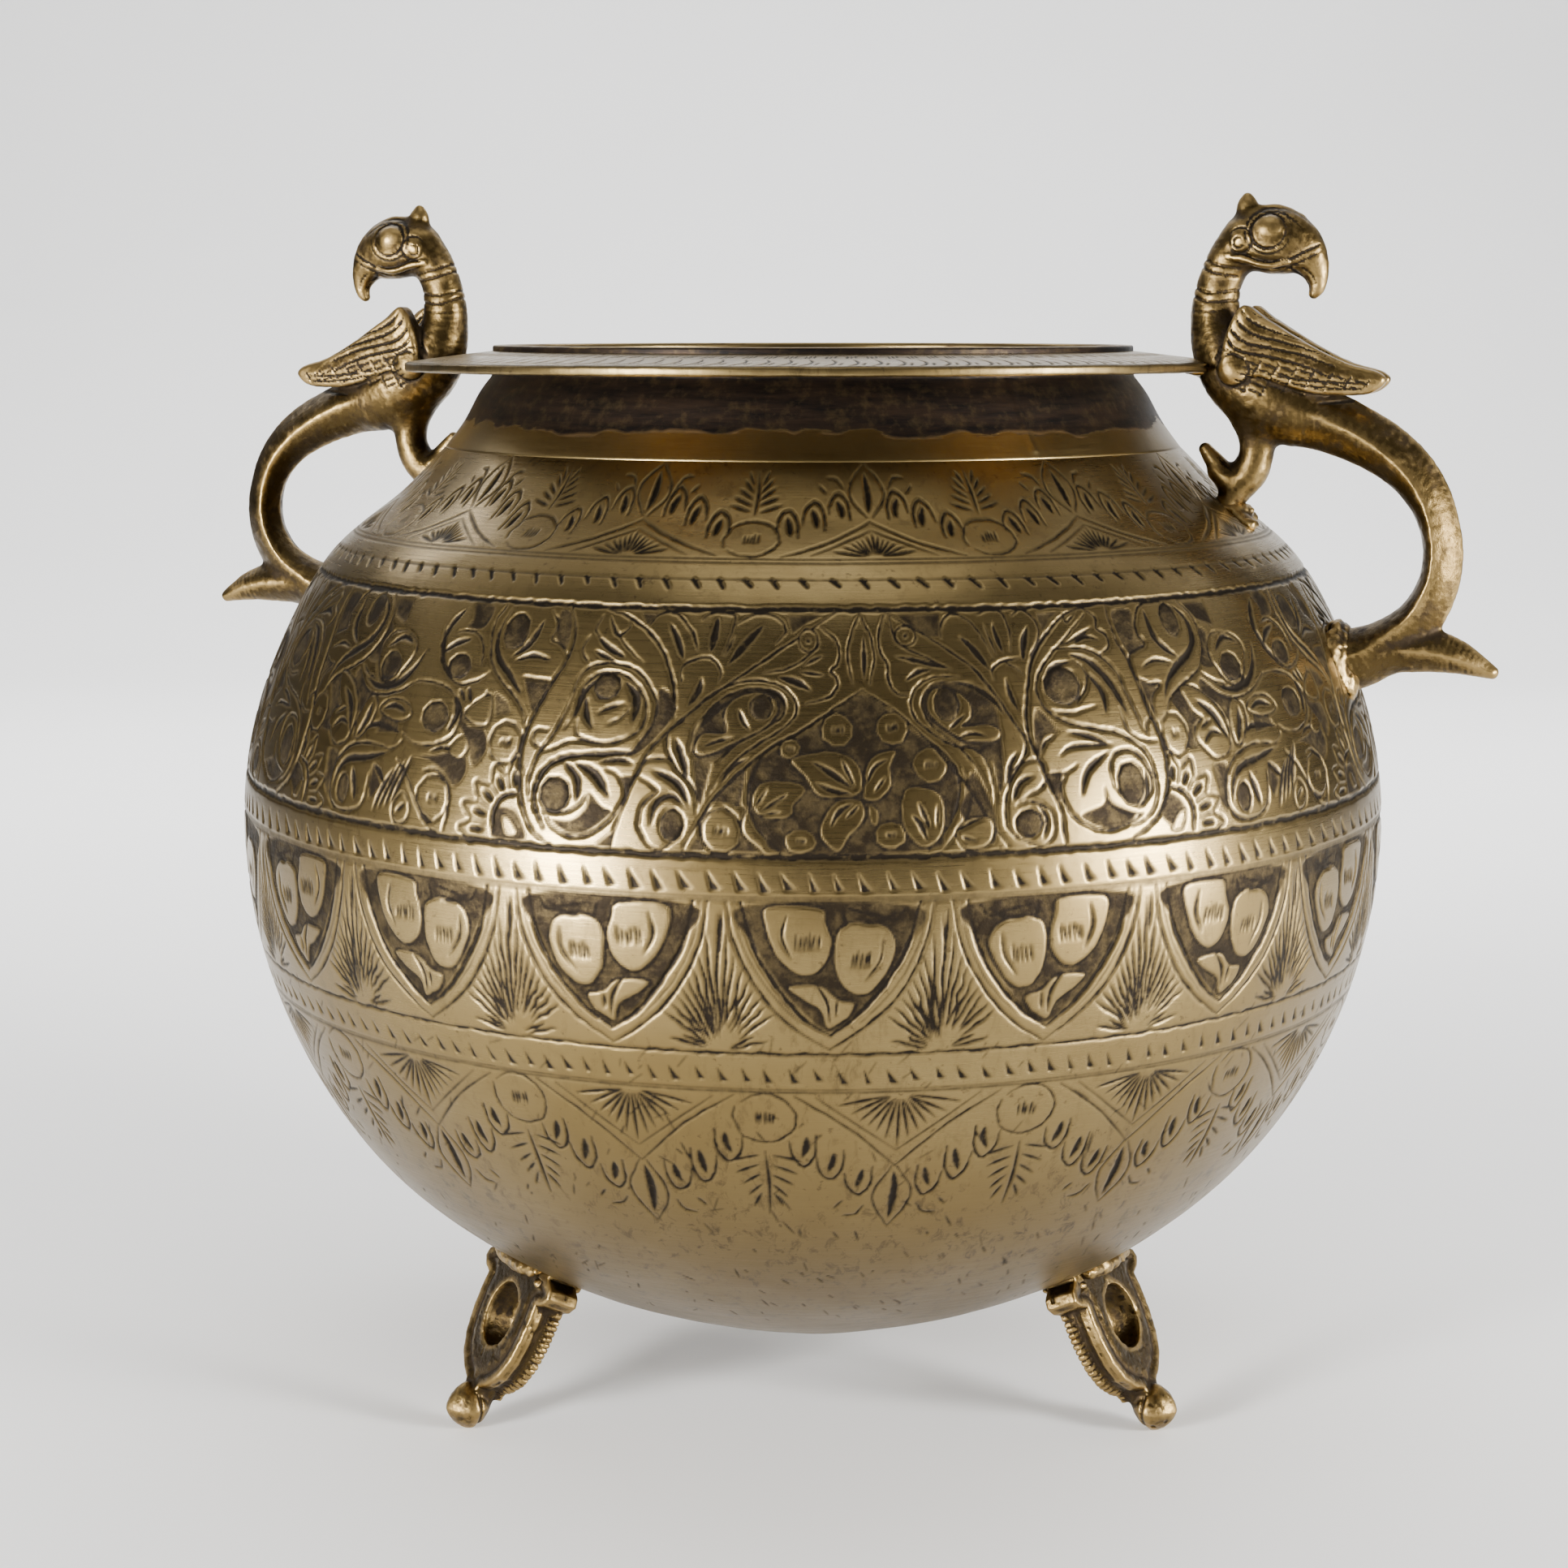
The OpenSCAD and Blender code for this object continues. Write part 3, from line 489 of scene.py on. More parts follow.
    # far right
    A.eye(99, 292.6, 3.0, 4.2)
    A.thick([(98, 297.4), (91, 296.9), (87.6, 293.9), (86.4, 290), (87.7, 286.9), (82.6, 285.2), (81.6, 281.6)], 1.0)
    A.thick([(104.6, 297), (107.8, 292.8), (108.2, 287.2), (105.4, 282.2), (101.5, 278.9), (94.9, 276.1), (90.2, 273.1), (87.1, 267.2)], 1.0)
    A.cuts([(2.9, [(101, 296.6), (105, 292.6), (104.6, 287.6), (101.5, 284.2), (96, 281), (91.5, 277.8), (88.8, 273.3)]), (2.3, [(91, 295.6), (91.5, 288.9), (94.3, 285.4), (97.3, 283.3)]), (1.4, [(84.3, 281.6), (89.3, 282.9), (94.9, 282.1)])])
    A.line([(82.1, 279.3), (85.4, 277.8), (88.8, 277.3), (85.4, 274.2), (84.9, 268.9)], 0.85); A.berry(89.6, 265.6, 4.2, 5.0, ticks=3)
    A.shape([(94.6, 276), (98, 276.2), (102.7, 273.9), (106.5, 270), (107.8, 265.6), (107, 261), (104.6, 259.3), (101, 259), (97.7, 261.7), (96, 264), (96.6, 266.7), (99.3, 268.3), (97, 270.5)], 0.85)
    A.cuts([(2.6, [(98.6, 272.9), (103.6, 269.2), (107, 262.4)]), (1.3, [(98.2, 266.1), (102.7, 268.2)]), (1.6, [(98.4, 262.6), (101.8, 265), (105.4, 264)])])
    A.eye(115.5, 279.6, 3.8, 3.5)
    A.thick([(117, 288.4), (112.1, 287.9), (109.2, 284.4), (109.8, 280), (113.2, 275.8), (118, 275.8), (121, 279), (123.4, 283.4), (121.5, 286.6), (117, 288.4)], 0.95)
    A.cuts([(2.0, [(111.5, 283.8), (116.5, 286.8), (121.5, 285.5)]), (2.6, [(107, 275.8), (113.8, 274.1), (120.4, 275.6), (124.9, 279.4), (127.7, 284.6)])])
    A.thick([(103.2, 279.3), (107.1, 277), (112.1, 275.7)], 0.85); A.thick([(102.6, 277.6), (108.2, 273.3), (114.9, 272.2), (122.1, 273.9), (128, 277)], 0.95)
    A.shape([(109, 262), (108.8, 266.7), (110.4, 270.6), (112.7, 272), (115.4, 270), (114.9, 265.6), (111.2, 261.3)], 0.85); A.cut([(113.2, 270.2), (112.4, 266), (110.2, 261.7)], 2.3)
    A.shape([(116.6, 269), (120, 271.6), (126, 271.4), (129, 268.4), (125, 266.8), (120, 267.2)], 0.8); A.cuts([(1.9, [(118, 269), (122, 270.2), (127, 269)]), (2.2, [(112.6, 263.6), (118, 265.2), (126.6, 264.2)])])
    A.thick([(128, 262.4), (124.9, 260.2), (116.5, 260.7), (109.3, 259.4), (104.9, 256.1), (103.1, 252.2), (103.1, 247.8), (106, 244.4), (112.7, 244.2), (117.2, 246.7), (118.3, 251.1), (118.6, 254)], 1.05)
    A.cuts([(2.3, [(125, 259.4), (116.5, 257.4), (109.3, 256.1), (106, 253.3), (104.4, 248.3)]), (2.4, [(111.6, 254.6), (113, 250.6), (114.3, 246.7)]), (2.1, [(119.3, 256), (121.6, 254.6), (124.4, 252)])])
    A.eye(108.8, 249.2, 2.3, 3.4)
    for k in range(4):      # ribbed leaf that closes the panel
        A.cut([(121.5 + 2.1 * k, 245.2 + 0.8 * k), (124 + 2.0 * k, 250.6 + 0.9 * k), (127.4 + 1.8 * k, 256 + 1.2 * k)], 1.7)
    # palmette to the left
    A.line([(-43.2, 293.6), (-40.8, 296.7), (-36.4, 296.8), (-32.5, 293.3), (-30.3, 288.9)], 0.9); A.line([(-29.6, 295.4), (-26.9, 297.2), (-21.4, 296.7), (-21.9, 291.7), (-23.6, 286.9)], 0.9)
    A.line([(-20.8, 294.4), (-15.8, 297.1), (-10.3, 296.2), (-8.1, 292.8), (-10.4, 289.8)], 0.9); A.line([(-33, 280.6), (-33.2, 283.9), (-30.3, 285.9), (-26.4, 286.2), (-23.6, 283.3), (-24.1, 280.3)], 1.0)
    A.cuts([(2.4, [(-38, 294.6), (-35.4, 291), (-33, 285.6)]), (2.8, [(-25.3, 296), (-26, 292), (-26.6, 287.5)]), (2.6, [(-13.6, 294.2), (-17.4, 290.2), (-21.9, 284.7)]), (2.4, [(-28, 281.7), (-28.8, 278.6), (-30.8, 275)]), (0.9, [(-31.4, 293), (-29.6, 287.8)]), (0.9, [(-20.6, 291.6), (-22.8, 286.8)])])
    # big scrolls to the left
    A.thick([(-55, 297.2), (-49.1, 295.6), (-42.5, 291.7), (-38, 286.7), (-35.3, 281.1), (-33.9, 275.6), (-34, 272.2)], 1.25, 0.58)
    A.thick([(-60.3, 275.6), (-59.2, 281), (-55.8, 283.7), (-50.3, 284.3), (-44.7, 282.8), (-40.8, 279.4), (-38.6, 275), (-39.1, 270), (-41.9, 265.8), (-44.3, 263.2)], 1.0)
    A.thick([(-60.8, 268.6), (-58.8, 272.2), (-58, 277.8), (-54.7, 281.6), (-49.1, 282.2), (-44.1, 279.4), (-41, 275), (-41.5, 270), (-44.7, 267.3), (-50.3, 265.7), (-57.5, 266.2), (-62.5, 264.4), (-66.6, 262.6)], 0.95)
    A.eye(-51.4, 278.8, 3.5, 3.0); A.line([(-58, 270.8), (-56.9, 267.2), (-51.4, 266.2)], 0.85); A.line([(-49.8, 269.9), (-46.2, 272.4), (-44.4, 275.6)], 0.8)
    A.cuts([(2.8, [(-47, 280.2), (-43.4, 276.4), (-43.8, 270.8)]), (2.2, [(-56.6, 276.2), (-55.6, 272), (-53.4, 268.9)]), (1.5, [(-53, 272.4), (-49.6, 274), (-46.4, 275.2)]), (2.0, [(-58.6, 271), (-57.2, 276.8), (-54.2, 280.6)])])
    A.line([(-56.2, 296), (-57.6, 292.2), (-55.8, 290.6)], 0.9); A.line([(-58.6, 290.7), (-59.8, 286.9), (-57.4, 283.9)], 1.0); A.line([(-54.1, 295.6), (-51.4, 291.2), (-48.5, 292.9), (-48.4, 294.8)], 0.9)
    A.line([(-53.6, 294.4), (-49.1, 288.9), (-43, 284.4)], 0.9); A.cuts([(2.2, [(-56.6, 290.6), (-53, 288), (-48, 285.7)]), (1.8, [(-56.6, 287), (-54, 286), (-50.6, 285)])])
    A.thick([(-65.8, 297.2), (-63.6, 293.3), (-62.8, 288.9), (-64.1, 283.3), (-66.9, 277.8), (-69.1, 272.2), (-70.8, 266.7), (-71.4, 261.1), (-70.3, 253.9), (-68, 248.3), (-64.7, 244.4), (-60.6, 242.2)], 1.3, 0.6)
    A.thick([(-60.3, 276.1), (-61.9, 270.6), (-63.8, 266.6), (-66.6, 262.8), (-68.2, 257), (-67.5, 252.2)], 0.95); A.line([(-65.8, 263.6), (-68.6, 265.4), (-67.8, 268), (-64.6, 268.2)], 0.85)
    A.thick([(-42.4, 264.2), (-50.3, 263.4), (-58, 262.6), (-63.4, 260.3), (-66.2, 255.6), (-65.8, 251.1), (-63.3, 246.7)], 1.7, 0.6)
    A.eye(-61, 254, 3.7, 3.9); A.thick([(-63.6, 250.4), (-61.4, 247.2), (-56.4, 244.9), (-50.8, 246.1), (-46.4, 250), (-44.1, 255), (-45.8, 258.9), (-48.6, 260.1)], 0.95)
    A.line([(-63.9, 250.2), (-59, 250), (-55, 251.6), (-52.4, 254.8)], 0.85); A.line([(-52.2, 254.6), (-49.5, 252), (-46.2, 250.6)], 0.85)
    A.cuts([(2.2, [(-59.6, 261.4), (-55.9, 257.8), (-55.2, 252.8)]), (2.9, [(-57, 261.2), (-51.8, 258.9), (-47.5, 253.9)]), (1.7, [(-50.8, 261.7), (-46, 262.3), (-42.4, 261.6)])])
    # small scroll and leaves by the panel's foot, left
    A.line([(-44, 256), (-41.4, 259.1), (-39.6, 262.3), (-35, 263.2), (-33.4, 262)], 0.9); A.thick([(-41, 259), (-36.4, 256), (-39.6, 252.8), (-40.3, 248.3), (-38, 244.4), (-35.4, 242.7)], 0.95)
    A.eye(-32.6, 248.6, 2.6, 3.5); A.cuts([(2.0, [(-37.5, 248.2), (-36.7, 252.8), (-33, 255), (-29.8, 252.4)]), (2.4, [(-38, 260.4), (-32, 257.8), (-28.7, 252.8)]), (2.4, [(-33, 267.8), (-31, 262.6), (-29.7, 258.7)])])
    A.thick([(-31.4, 271.6), (-34.9, 269), (-34.7, 265.4), (-32.3, 261), (-27.7, 256.1), (-27, 251)], 0.95); A.line([(-29.6, 250), (-31.4, 246), (-35.2, 242.8)], 0.8)
    A.line([(-23.8, 253.8), (-26.6, 248.8), (-24.8, 243.8)], 0.8); A.line([(-19.6, 253.4), (-16.4, 252.4), (-16.9, 247.4), (-12, 242.9)], 0.85)
    # far left
    A.eye(-80.4, 290.6, 3.7, 4.5)
    A.thick([(-86.2, 297), (-88, 292.8), (-87.5, 287.8), (-85.3, 282.8), (-80.8, 278.3), (-75.8, 275), (-72.5, 271.7), (-70.9, 267.2)], 1.1)
    A.thick([(-71.4, 296.4), (-68.6, 292.8), (-69.1, 289.4), (-65.8, 287.8), (-64.1, 285.6)], 0.95); A.thick([(-84.4, 296.6), (-85.6, 290), (-83.4, 284.6), (-78.6, 280.6), (-74.4, 276.2)], 0.7)
    A.cuts([(2.2, [(-85.3, 293.3), (-85.6, 288.7), (-83.8, 284.2), (-79.7, 280.4), (-74.3, 275.6)]), (2.2, [(-79.7, 284.4), (-75.1, 288.3), (-72.8, 293.9)]), (1.8, [(-78.6, 283.5), (-73.6, 285.1), (-68, 284.2)])])
    A.thick([(-74.6, 279.9), (-66.3, 279.5)], 0.8); A.berry(-76, 264.6, 4.5, 5.0); A.berry(-94.6, 250.4, 5.2, 5.3)
    A.thick([(-108, 276.6), (-103, 277), (-97, 275.8), (-92.4, 272.8), (-90.5, 269), (-92.5, 264.5), (-98, 262), (-104.6, 262.3), (-108, 264)], 1.0)
    A.eye(-98.6, 268.8, 4.3, 3.6); A.cuts([(2.2, [(-94, 274), (-92, 270), (-93.6, 265.6)]), (1.4, [(-98, 260.6), (-94, 262), (-89.5, 261.6)])])
    A.thick([(-104.6, 291), (-103, 284.6), (-99.6, 279.6), (-94, 277), (-88, 278.4), (-84.6, 280.6)], 0.95); A.eye(-95, 281.2, 3.7, 2.9)
    A.thick([(-99.4, 289.4), (-93.6, 289.8), (-89.6, 286.6), (-88.4, 281.4)], 0.95)
    A.cuts([(2.4, [(-103.6, 289.4), (-101.6, 282.6), (-97, 278.6)]), (2.0, [(-102, 284), (-98.6, 286.6), (-93.6, 288)]), (2.2, [(-99, 295.6), (-102.4, 291), (-103.8, 285)]), (1.8, [(-92.8, 276), (-90.4, 273)]), (1.8, [(-90.4, 276.8), (-88.4, 272.6)]), (1.6, [(-84.4, 276.4), (-82.6, 270.6)])])
    A.shape([(-82, 268.6), (-86, 268), (-89.5, 270.3), (-86, 274), (-82.6, 274.6)], 0.7)
    A.thick([(-108, 258), (-103.6, 254.4), (-99.6, 249), (-95, 244), (-92.6, 242.8)], 1.0); A.thick([(-98.6, 256.2), (-95, 256.8), (-90.8, 254.2), (-89.6, 248.6), (-90.6, 243.2)], 0.9)
    A.shape([(-107, 247.4), (-104.4, 250.6), (-101.4, 248), (-102.4, 244.4), (-106, 243.6)], 0.7); A.cuts([(1.2, [(-106, 246), (-103, 248.4)]), (1.8, [(-98, 246.6), (-93.8, 244.6)])])
    A.shape([(-92, 262.4), (-88.6, 265.2), (-86.4, 262.6), (-88, 260), (-91, 260.4)], 0.6)


PANEL = 2 * HALF / 4
for i in range(4):
    scroll_panel(i * PANEL)


# --- shields and fans below it
def shield(x0, m):
    A = Pen(x0, 0, m, 1, 0.2)
    A.fill([(-19.2, 231.6), (-16.6, 222.4), (-11.6, 213.6), (-5.3, 206.4), (0, 202.6), (5.3, 206.4), (11.6, 213.6), (16.6, 222.4), (19.2, 231.6)], 0.4)
    A.shape([(-13.8, 231.4), (-14.0, 226), (-11.2, 219.4), (-6.2, 215.6), (-1.6, 217.6), (0.2, 223), (-0.8, 228), (-2.4, 231.4)], 0.85)
    A.shape([(1.0, 224.6), (0.9, 217.6), (3.8, 212.4), (8.4, 211.8), (12.4, 216.6), (14.6, 222.4), (12.4, 226.8), (6.8, 228.2), (2.8, 227.2)], 0.85)
    A.shape([(-0.8, 203.6), (-2.4, 207.6), (-6.6, 210.4), (-9.6, 213.2), (-6.4, 214.2), (-1.6, 213.8), (1.6, 210.8), (5.6, 209.8), (4.4, 206.4), (1.8, 204.6)], 0.8)
    A.line([(16.6, 231), (14.2, 228.4), (9.6, 229.6), (3.8, 230.8)], 0.8)
    A.cuts([(1.1, [(-9.6, 229.6), (-10.6, 224.6), (-8.4, 219.6)]), (0.9, [(11.6, 224.6), (11, 219.6), (7.6, 214.6)])])
    for cx, cy, n in ((-5.2, 223.6, 6), (6.6, 219.6, 5)):
        for k in range(n):
            xx = cx + (k - (n - 1) / 2) * 1.0
            A.cut([(xx - 0.1, cy - 2.0), (xx + 0.35, cy + rng.uniform(1.2, 2.4))], 0.8, 0.42)
    A.cuts([(1.2, [(-0.2, 205), (-0.8, 210), (-3.6, 214.6)]), (1.0, [(1.2, 206.4), (1.4, 210.2)]), (1.4, [(14.4, 230), (10.6, 228), (6.4, 227.6)]), (1.0, [(2.6, 230.6), (3.4, 227)])])
    for sg in (-1, 1):
        A.thick([(sg * 22.8, 232.4), (sg * 20.8, 222.6), (sg * 15.6, 212), (sg * 8, 204), (0, 198.6)], 0.95, 0.5)
        A.thick([(sg * 19.4, 232.2), (sg * 17, 222.4), (sg * 12, 213.4), (sg * 5.6, 206), (0, 202)], 1.45, 0.6)
        A.line([(sg * 21.2, 232.2), (sg * 19, 222.4), (sg * 13.8, 212.8), (sg * 6.8, 205)], 0.4, 0.18)


def fan(x0):
    A = Pen(x0, 0, 1, 1, 0.16)
    hw = lambda y: np.interp(y, [198.8, 204, 212, 222.6, 232.4], [0, 8, 15.6, 20.8, 22.8])
    for k, ph in enumerate((0, 5, -5, 10, -10, 15.5, -15.5, 21.5, -21.5, 28, -28, 35.5, -35.5, 44, -44, 53.5, -53.5, 64, -64, 75, -75)):
        t = math.tan(math.radians(ph))
        ys = np.linspace(199.5, 229.6 if k < 3 else 228, 60)
        ok = np.abs(t) * (ys - 197.6) <= 24.8 - hw(ys) - 0.9
        if not ok.any():
            continue
        y1 = ys[ok].max(); y0 = 197.6 + (3.2 + 2.4 * (k % 2) + 0.6 * (k % 3)) * math.cos(math.radians(ph))
        if y1 - y0 < 1.2 and abs(ph) < 60:
            continue
        if abs(ph) >= 60:
            r1 = 21; y1 = 197.6 + r1 * math.cos(math.radians(ph)); y1 = min(y1, 199.4 + (90 - abs(ph)) * 0.08)
            y0 = 197.6 + 3 * math.cos(math.radians(ph))
        P = [(t * (y0 + (y1 - y0) * q - 197.6) + rng.uniform(-.28, .28), y0 + (y1 - y0) * q) for q in np.linspace(0, 1, 7)]
        A.cut(P, 1.0 if k % 2 else 1.15, 0.5)
    A.cut([(0.6, 221), (0.9, 230.6)], 1.1, 0.4)


n = 19
pitch = 2 * HALF / n
for i in range(n):
    x0 = 2.6 + (i - 9) * pitch
    shield(x0, 1 if i % 2 else -1)
    fan(x0 + pitch / 2)


# --- pointed leaf borders above and below
def tent(A, sg, apex, inner, half, hin, nray):
    """A chevron on its base line with rays inside; sg is the way it points."""
    A.line([(-half, sg * 0.6), (-half * 0.5, sg * apex * 0.44), (0, sg * apex)], 0.75, 0.36); A.line([(0, sg * apex), (half * 0.5, sg * apex * 0.44), (half, sg * 0.6)], 0.75, 0.36)
    A.line([(-hin, sg * 0.7), (0, sg * inner)], 0.55, 0.28, wobble=0.06); A.line([(0, sg * inner), (hin, sg * 0.7)], 0.55, 0.28, wobble=0.06)
    for k in range(nray):
        ph = math.radians((k - (nray - 1) / 2) * 156 / (nray - 1))
        r = inner / (math.cos(ph) + inner / hin * abs(math.sin(ph))) - 1.1
        if r > 3.2:
            A.cut([(1.6 * math.sin(ph) * 1.6, sg * (0.4 + 1.3 * math.cos(ph))), (r * math.sin(ph), sg * r * math.cos(ph))], 1.05, 0.42)


def border(A, sg, P):
    """P holds the sizes of one repeat; A's origin is on the base line under the chevron's point."""
    tent(A, sg, P["apex"], P["inner"], P["half"], P["hin"], P["rays"])
    for s in (-1, 1):
        for x, b, h in P["petals"]:
            x = x * s; b = b + rng.uniform(-.5, .5); h = h * rng.uniform(.9, 1.08)
            A.line([(x - 3.1 * s, sg * b), (x - 2.9 * s, sg * (b + h * .62)), (x - 0.4 * s, sg * (b + h)), (x + 2.6 * s, sg * (b + h * .72)), (x + 3.5 * s, sg * (b + h * .2))], 0.95, 0.45)
            A.cut([(x - 0.9 * s, sg * (b + 0.6)), (x - 0.6 * s, sg * (b + h * .4)), (x + 0.5 * s, sg * (b + h * .72))], 2.3, 0.5)
        x, b, t = P["leaf"]
        A.line([(s * 0.8, sg * (b - 1)), (s * x, sg * (b + (t - b) * .35)), (s * x * .8, sg * (b + (t - b) * .68)), (0, sg * t)], 0.75, 0.38)
        A.line([(s * (x + 2), sg * (t - 7.6)), (s * (x + 4.2), sg * (t - 4.6)), (s * (x + 7.5), sg * (t - 4.2))], 0.8, 0.36)
        A.cut([(s * (x + 7.8), sg * (t - 9)), (s * (x + 10), sg * (t - 6.6))], 0.9, 0.34)
    A.cut([(0, sg * (b + 0.6)), (0.6, sg * (b + (t - b) * .4)), (0, sg * (t - 3))], 2.8, 0.52)
    # round and its frond, midway to the next point
    cx, cy, rx, ry = P["round"]
    Q = [(cx + rx * math.cos(a), sg * (cy - ry * math.sin(a))) for a in np.linspace(-0.9 * math.pi, 0.02, 8)]
    Q += [(cx + rx * math.cos(a), sg * (cy - ry * math.sin(a))) for a in np.linspace(0.3, 0.78 * math.pi, 5)]
    A.line(Q, 0.75, 0.36)
    A.line([(cx - rx * .92, sg * (cy - ry * .5)), (cx - rx * .98, sg * cy), (cx - rx * .8, sg * (cy + ry * .5))], 0.7, 0.34)
    for k in range(5):
        xx = cx + (k - 2) * 1.0
        A.cut([(xx, sg * cy - 1.6), (xx + 0.2, sg * cy + rng.uniform(1.0, 2.2))], 0.85, 0.36)
    f0, f1 = P["frond"]
    A.cut([(cx, sg * f0), (cx + 0.3, sg * (f0 + f1) / 2), (cx, sg * f1)], 1.1, 0.42)
    m = 5
    for j in range(m):
        for s in (-1, 1):
            a = f0 + (f1 - f0) * (0.02 + 0.15 * j)
            A.cut([(cx + s * 1.5, sg * (a + 1.0)), (cx + s * (P["fw"] - 1.25 * j), sg * (a + 3.0 + 0.55 * j))], 1.05, 0.38)


UP = dict(apex=12.6, inner=9.6, half=27, hin=18.5, rays=13, petals=[(9.4, 13.4, 8.6), (17.4, 10.2, 9.4), (25.6, 6.6, 9.2)], leaf=(5.6, 14.8, 30.2),
          round=(36.25, 6.6, 8.4, 6.0), frond=(14.4, 27.6), fw=8.6)
DOWN = dict(apex=20.2, inner=15.6, half=24.5, hin=19.5, rays=13, petals=[(8.8, 20.6, 9.2), (15.8, 15.6, 9.8), (22.4, 10.4, 9.2)], leaf=(4.8, 21.4, 40.2),
            round=(31.4, 6.6, 7.4, 6.6), frond=(15.4, 35.4), fw=8.8)
for i in range(13):
    border(Pen(16 + (i - 6) * 2 * HALF / 13 + rng.uniform(-.6, .6), 312.6, 1, 1, 0.2), 1, UP)
for i in range(15):
    border(Pen(19.2 + (i - 7) * 2 * HALF / 15 + rng.uniform(-.8, .8), 187.4, 1, 1, 0.2), -1, DOWN)

# --- ruled lines and rows of notches
ring(312.3, 0.45, 0.24, 0.1, 1, 0.05); ring(311.1, 0.5, 0.28, 0.1, 2, 0.05)
ring(305.9, 0.38, 0.22, 0.15, 3, 0.06)
ring(298.3, 1.25, 0.6, 0.3, 4, 0.2, 1.6); ring(297.7, 0.9, 0.5, 0.4, 5, 0.25, 2.2)
ring(241.9, 1.25, 0.6, 0.3, 6, 0.2, 1.6); ring(242.5, 0.9, 0.5, 0.4, 7, 0.25, 2.2)
ring(233.3, 0.45, 0.26, 0.1, 8, 0.05); ring(232.5, 0.45, 0.24, 0.1, 9, 0.05)
ring(197.4, 0.9, 0.42, 0.4, 10, 0.25, 2.0)
ring(188.4, 0.42, 0.22, 0.1, 11, 0.06); ring(187.7, 0.45, 0.24, 0.15, 12, 0.08)
x = -HALF
while x < HALF - 4:
    SHEET.wedge(x, 236.7 + rng.uniform(-.25, .25), 4.0 + rng.uniform(-.4, .3), rng.uniform(1.6, 2.7), 0.5, lean=-rng.uniform(.7, 1.3))
    x += rng.uniform(5.1, 6.5)
x = -HALF
while x < HALF - 4:
    SHEET.wedge(x, 192.0 + rng.uniform(-.3, .3), 3.4 + rng.uniform(-.4, .3), rng.uniform(1.3, 2.3), 0.45, lean=-rng.uniform(.6, 1.2))
    x += rng.uniform(4.8, 6.1)
x = -HALF
while x < HALF - 5:
    h = rng.uniform(2.0, 3.0); t = rng.uniform(1.6, 2.6)      # hanging from the line, pointed below
    SHEET.stroke(np.stack([x + np.linspace(0, t, 6), 305.9 - np.linspace(0, h, 6)], 1), 1.5, 0.45, taper=(1.0, 0.15))
    SHEET.stroke(np.stack([x + np.linspace(-0.9, 1.1, 4), 305.7 + 0 * np.linspace(0, 1, 4)], 1), 0.8, 0.36, taper=(0.3, 0.9))
    x += rng.uniform(6.9, 8.3)

# --- slips of the tool and dents on the plain underside
for k in range(620):
    y = rng.uniform(92, 186) if k % 3 else rng.uniform(100, 150)
    x = rng.uniform(-HALF, HALF)
    a = math.radians(rng.normal(-58 if math.sin(x / 75 + 0.4) > -0.2 else 52, 13)); ln = abs(rng.normal(2.6, 1.6)) + 0.6
    P = [(x, y), (x + ln * math.cos(a), y + ln * math.sin(a))]
    SHEET.leafcut(P, rng.uniform(0.35, 0.8), 0.14)
for k in range(260):
    y = rng.uniform(188, 198) if k % 2 else rng.uniform(150, 188)
    x = rng.uniform(-HALF, HALF); a = math.radians(rng.normal(48, 16)); ln = rng.uniform(1, 5)
    SHEET.leafcut([(x, y), (x + ln * math.cos(a), y + ln * math.sin(a))], 0.35, 0.1)


# ------------------------------------------------------------------ sculpting in a block of voxels
def noise3(shape, cell, seed):
    """Smooth noise on a voxel grid, about -1 to 1; cell is in voxels."""
    g = np.random.default_rng(seed)
    n = [max(2, int(s / cell)) + 2 for s in shape]
    a = g.uniform(-1, 1, n).astype(np.float32)
    for ax in range(3):
        t = np.linspace(0, n[ax] - 1.001, shape[ax])
        i = t.astype(int)
        f = (t - i).astype(np.float32)
        f = f * f * (3 - 2 * f)
        sh = [1, 1, 1]; sh[ax] = -1
        a = np.take(a, i, ax) * (1 - f.reshape(sh)) + np.take(a, i + 1, ax) * f.reshape(sh)
    return a


def blur3(a, n):
    for ax in range(3):
        c = np.cumsum(np.pad(a, [(n + 1, n) if k == ax else (0, 0) for k in range(3)], mode="edge"), axis=ax, dtype=np.float64)
        m = a.shape[ax]
        hi = np.take(c, np.arange(2 * n + 1, 2 * n + 1 + m), ax); lo = np.take(c, np.arange(0, m), ax)
        a = ((hi - lo) / (2 * n + 1)).astype(np.float32)
    return a


def poly_dist(Q, X, Y):
    """Distance to a closed outline, negative inside."""
    Q = np.asarray(Q, float)
    inside = np.zeros(np.broadcast(X, Y).shape, bool)
    dist = np.full(inside.shape, 1e9)
    for a, b in zip(Q, np.roll(Q, -1, 0)):
        dx, dy = b - a
        if abs(dy) > 1e-9:
            inside ^= ((a[1] > Y) != (b[1] > Y)) & (X < dx * (Y - a[1]) / dy + a[0])
        t = np.clip(((X - a[0]) * dx + (Y - a[1]) * dy) / (dx * dx + dy * dy + 1e-12), 0, 1)
        dist = np.minimum(dist, np.hypot(X - a[0] - t * dx, Y - a[1] - t * dy))
    return np.where(inside, -dist, dist)


